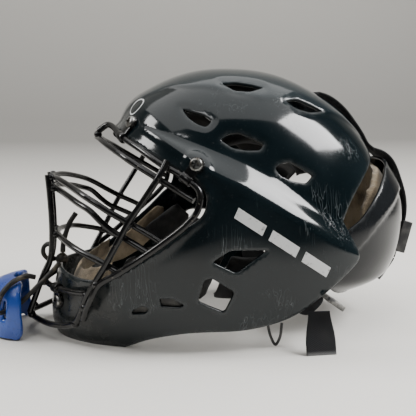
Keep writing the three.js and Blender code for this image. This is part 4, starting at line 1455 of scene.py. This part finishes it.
def makeLowerStraps():
    for label, side in sides.items():
        # the fold, two layers of webbing lying against each other
        outline = throughPoints(foldOutline, 60, closed=True)
        layers = []
        for offset in (-0.95, 0.95):
            count = len(outline)
            verts = [
                place((x, side * (lower["foldY"] + offset + t), z)) for t in (-0.8, 0.8) for x, z in outline
            ]
            faces = [tuple(range(count)), tuple(range(count, 2 * count))[::-1]]
            faces += [(k, (k + 1) % count, count + (k + 1) % count, count + k) for k in range(count)]
            layers.append(newPiece(f"fold_{label}", verts, faces, "webbing", smooth=False))
        fold = joinPieces(layers, f"strapFold_{label}")
        facesOut(fold)
        bevelEdges(fold, 0.35)
        dress(fold, "webbing", smooth=False)
        bpy.ops.object.shade_smooth_by_angle(angle=math.radians(40))
        uv = fold.data.uv_layers.new(name="run")
        for loop in fold.data.loops:
            co = fold.data.vertices[loop.vertex_index].co
            uv.data[loop.index].uv = (co.x * 700 + co.z * 700, co.x * 700 - co.z * 700)
        setAttribute(fold, "wearAndSheen", np.zeros(len(fold.data.vertices)))
        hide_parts(f"lower_strap_{label}")
        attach(fold, "helmet")

        lean = math.radians(lower["lean"])
        line = []
        for far in np.linspace(0, 1, 22) * lower["length"]:
            y = side * (lower["topY"] + far * math.sin(lean))
            line.append((lower["x"], y, lower["topZ"] - far * math.cos(lean)))
        # narrower and turned a little where it leaves the fold, flat and full width at its end
        twist = []
        for share in 1 - smoothStep(np.linspace(0, 1.3, len(line))):
            a = math.radians(lower["twist"] * share)
            twist.append(np.array([math.cos(a), side * math.sin(a), 0]) * (1 - lower["pinch"] * share))
        makeBand(
            f"strapTail_{label}", line, twist, straps["webbing"], straps["webbingThick"],
            f"strap_tail_{label}", f"strap_tail_{label}", True
        )

        tilt = Matrix.Rotation(math.radians(triglide["tilt"]), 4, 'Y')
        slots = [((x, 0, 0), (4.4, triglide["wide"] - 4, 9)) for x in (-3.9, 3.9)]
        size = (triglide["long"], triglide["wide"], triglide["thick"])
        at = (triglide["x"], side * triglide["y"], triglide["z"])
        name = f"triglide_{label}_moulding"
        slottedBox(name, size, slots, 0.7, at, tilt, "worn_buckle", f"triglide_{label}", "helmet")
        bent = throughPoints([(x, side * y, z) for x, y, z in hook], 60)
        clip = makeTube(f"strapHook_{label}", bent, 2.4, "buckle")
        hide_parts(f"strap_hook_{label}")
        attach(clip, "helmet")


makeLowerStraps()


slider = {
    "size": (9.5, 46.0, 30.0), "at": (185.0, 0.0, 76.0), "bars": 5, "pitch": 5.2, "groove": (2.2, 2.4),
    "edge": 8.0
}


def makeSlider():
    thick, width, _ = slider["size"]
    deep, high = slider["groove"]
    slots = [((-2.3, 0, 0), (3.4, straps["elastic"] + 3, 60))]
    for k in range(slider["bars"]):
        z = (k - (slider["bars"] - 1) / 2) * slider["pitch"]
        slots.append(((thick / 2, 0, z), (deep, width - slider["edge"], high)))
    tilt = Matrix.Rotation(math.atan2(5, 20), 4, 'Y')
    slottedBox(
        "rearSlider", slider["size"], slots, 0.6, slider["at"], tilt, "buckle", "rear_slider", "rear_slider"
    )


makeSlider()
print("straps made")


# marks: a plain ring at the front and three plain bars on the side
marks = {"ringAt": (-67.0, 198.0), "ringRadius": 8.6, "ringWidth": 1.3, "lift": 0.14}
barStarts = [(4.0, 121.5), (31.0, 103.5), (58.0, 85.5)]


def markPatch(loops):
    flatLoops = [np.asarray(loop) for loop in loops]
    low = np.min(flatLoops[0], 0)
    high = np.max(flatLoops[0], 0)

    def keep(points):
        kept = insideLoop(points, flatLoops[0])
        for hole in flatLoops[1:]:
            kept &= ~insideLoop(points, hole)
        return kept

    flat, faces = triangulate([list(map(tuple, q)) for q in flatLoops], [], 0.011, low, high, keep)
    verts = fromDisc(flat)
    normals, faces = outwards(verts, discNormals(fromDisc, flat), faces)
    return verts, normals, faces


def makeMarks():
    ringDisc = toDisc([marks["ringAt"][0]], [marks["ringAt"][1]])[0]
    step = 1e-3
    east = (fromDisc(ringDisc[None] + [step, 0]) - fromDisc(ringDisc[None] - [step, 0]))[0] / (2 * step)
    north = (fromDisc(ringDisc[None] + [0, step]) - fromDisc(ringDisc[None] - [0, step]))[0] / (2 * step)
    # the upper triangle of the two slopes turns millimetres on the skin into disc steps
    toSteps = np.linalg.qr(np.stack([east, north], 1))[1]
    loops = []
    for radius in (marks["ringRadius"], marks["ringRadius"] - marks["ringWidth"]):
        turn = np.linspace(0, 2 * math.pi, 72, endpoint=False)
        flat = np.stack([np.cos(turn), np.sin(turn)], 0) * radius
        loops.append(ringDisc + np.linalg.solve(toSteps, flat).T)
    verts, normals, faces = markPatch(loops)
    ring = newPiece(
        "frontRing", [place(v + n * marks["lift"]) for v, n in zip(verts, normals)], faces, "mark"
    )
    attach(ring, "helmet")
    # the side bars follow the shell's own slope and lean with the crease
    for label, side in sides.items():
        group = []
        for x, z in barStarts:
            corners = [(x, z), (x + 22, z - 14.6), (x + 18.5, z - 22.4), (x - 3.5, z - 7.8)]
            outline = []
            for (x0, z0), (x1, z1) in zip(corners, corners[1:] + corners[:1]):
                steps = np.linspace(0, 1, 8, endpoint=False)
                outline += [(x0 + (x1 - x0) * t, z0 + (z1 - z0) * t) for t in steps]
            disc = toDisc(*np.array(outline).T)
            verts, normals, faces = markPatch([disc])
            turn = np.array([1, -side, 1])
            if side > 0:
                faces = faces[:, ::-1]
            lifted = [place((v + n * marks["lift"]) * turn) for v, n in zip(verts, normals)]
            group.append(newPiece("bar", lifted, faces, "mark"))
        bars = joinPieces(group, f"sideBars_{label}")
        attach(bars, "helmet")


makeMarks()
print("marks made")


# floor, backdrop and light
studio = {
    "tone": (0.74, 0.72, 0.68), "farShade": (0.22, 0.213, 0.2), "highShade": (0.34, 0.33, 0.31),
    "nearShade": (0.03, 0.03, 0.03), "world": 0.07,
    "lamps": [
        ((0.97, -0.36, 1.0), (0.06, -0.06, 0.16), (0.62, 0.5), 30, (1, 1, 1)),
        ((-1.0, 0.12, 0.9), (-0.05, -0.04, 0.17), (0.34, 0.42), 9, (1, 0.99, 0.97)),
        ((0.0, 0.1, 2.0), (0, 0.1, 0), (3.2, 2.4), 52, (1, 0.995, 0.98)),
        ((-1.3, -1.6, 1.9), (0, 0, 0.08), (0.5, 0.5), 9, (1, 1, 1))
    ],
}


def makeStudio():
    world = bpy.data.worlds.new("roomLight")
    bpy.context.scene.world = world
    world.use_nodes = True
    background = world.node_tree.nodes["Background"]
    background.inputs["Color"].default_value = (0.86, 0.88, 0.9, 1)
    background.inputs["Strength"].default_value = studio["world"]
    bend = [(0.55 + 0.7 * math.sin(a), 0.7 - 0.7 * math.cos(a)) for a in np.linspace(0.08, math.pi / 2, 24)]
    section = [(-2.6, 0), (-0.62, 0), (0.55, 0)] + bend + [(1.25, 3.0)]
    verts, faces = [], []
    for y, z in section:
        verts += [(-3, y, z - 0.0003), (3, y, z - 0.0003)]
    for i in range(len(section) - 1):
        faces.append((2 * i, 2 * i + 1, 2 * i + 3, 2 * i + 2))
    mat = material("sweepPaper", studio["tone"], 0.75, specular=0.3)
    paper = noise(mat, 3, 4)
    split = node(mat, "ShaderNodeSeparateXYZ")
    link(mat, objectSpace(mat), split.inputs["Vector"])
    colour = blendColours(
        mat, span(mat, paper, 0.3, 0.7), tuple(c * 0.97 for c in studio["tone"]), studio["tone"]
    )
    # the paper is one colour; it is painted darker as it rises into the backdrop and nearly black on the
    # floor near the camera: painted shade
    colour = blendColours(mat, span(mat, split.outputs["Z"], 0.0, 0.13), colour, studio["farShade"])
    colour = blendColours(mat, span(mat, split.outputs["Z"], 0.18, 0.5), colour, studio["highShade"])
    colour = blendColours(mat, span(mat, split.outputs["Y"], -0.44, -0.26, 1, 0), colour, studio["nearShade"])
    finishWith(mat, colour, None, noise(mat, 400, 3), 0.0001)
    mesh = bpy.data.meshes.new("sweep")
    mesh.from_pydata(verts, [], faces)
    for polygon in mesh.polygons:
        polygon.use_smooth = True
    mesh.materials.append(mat)
    sweep = bpy.data.objects.new("sweep", mesh)
    bpy.context.scene.collection.objects.link(sweep)
    for index, (at, aim, size, power, colour) in enumerate(studio["lamps"]):
        bpy.ops.object.light_add(type='AREA', location=at)
        lamp = bpy.context.object
        lamp.name = f"softbox{index + 1}"
        lamp.rotation_euler = (Vector(aim) - Vector(at)).to_track_quat('-Z', 'Y').to_euler()
        lamp.data.shape = 'RECTANGLE'
        lamp.data.size, lamp.data.size_y = size
        lamp.data.energy = power
        lamp.data.color = colour


makeStudio()
print("studio made")
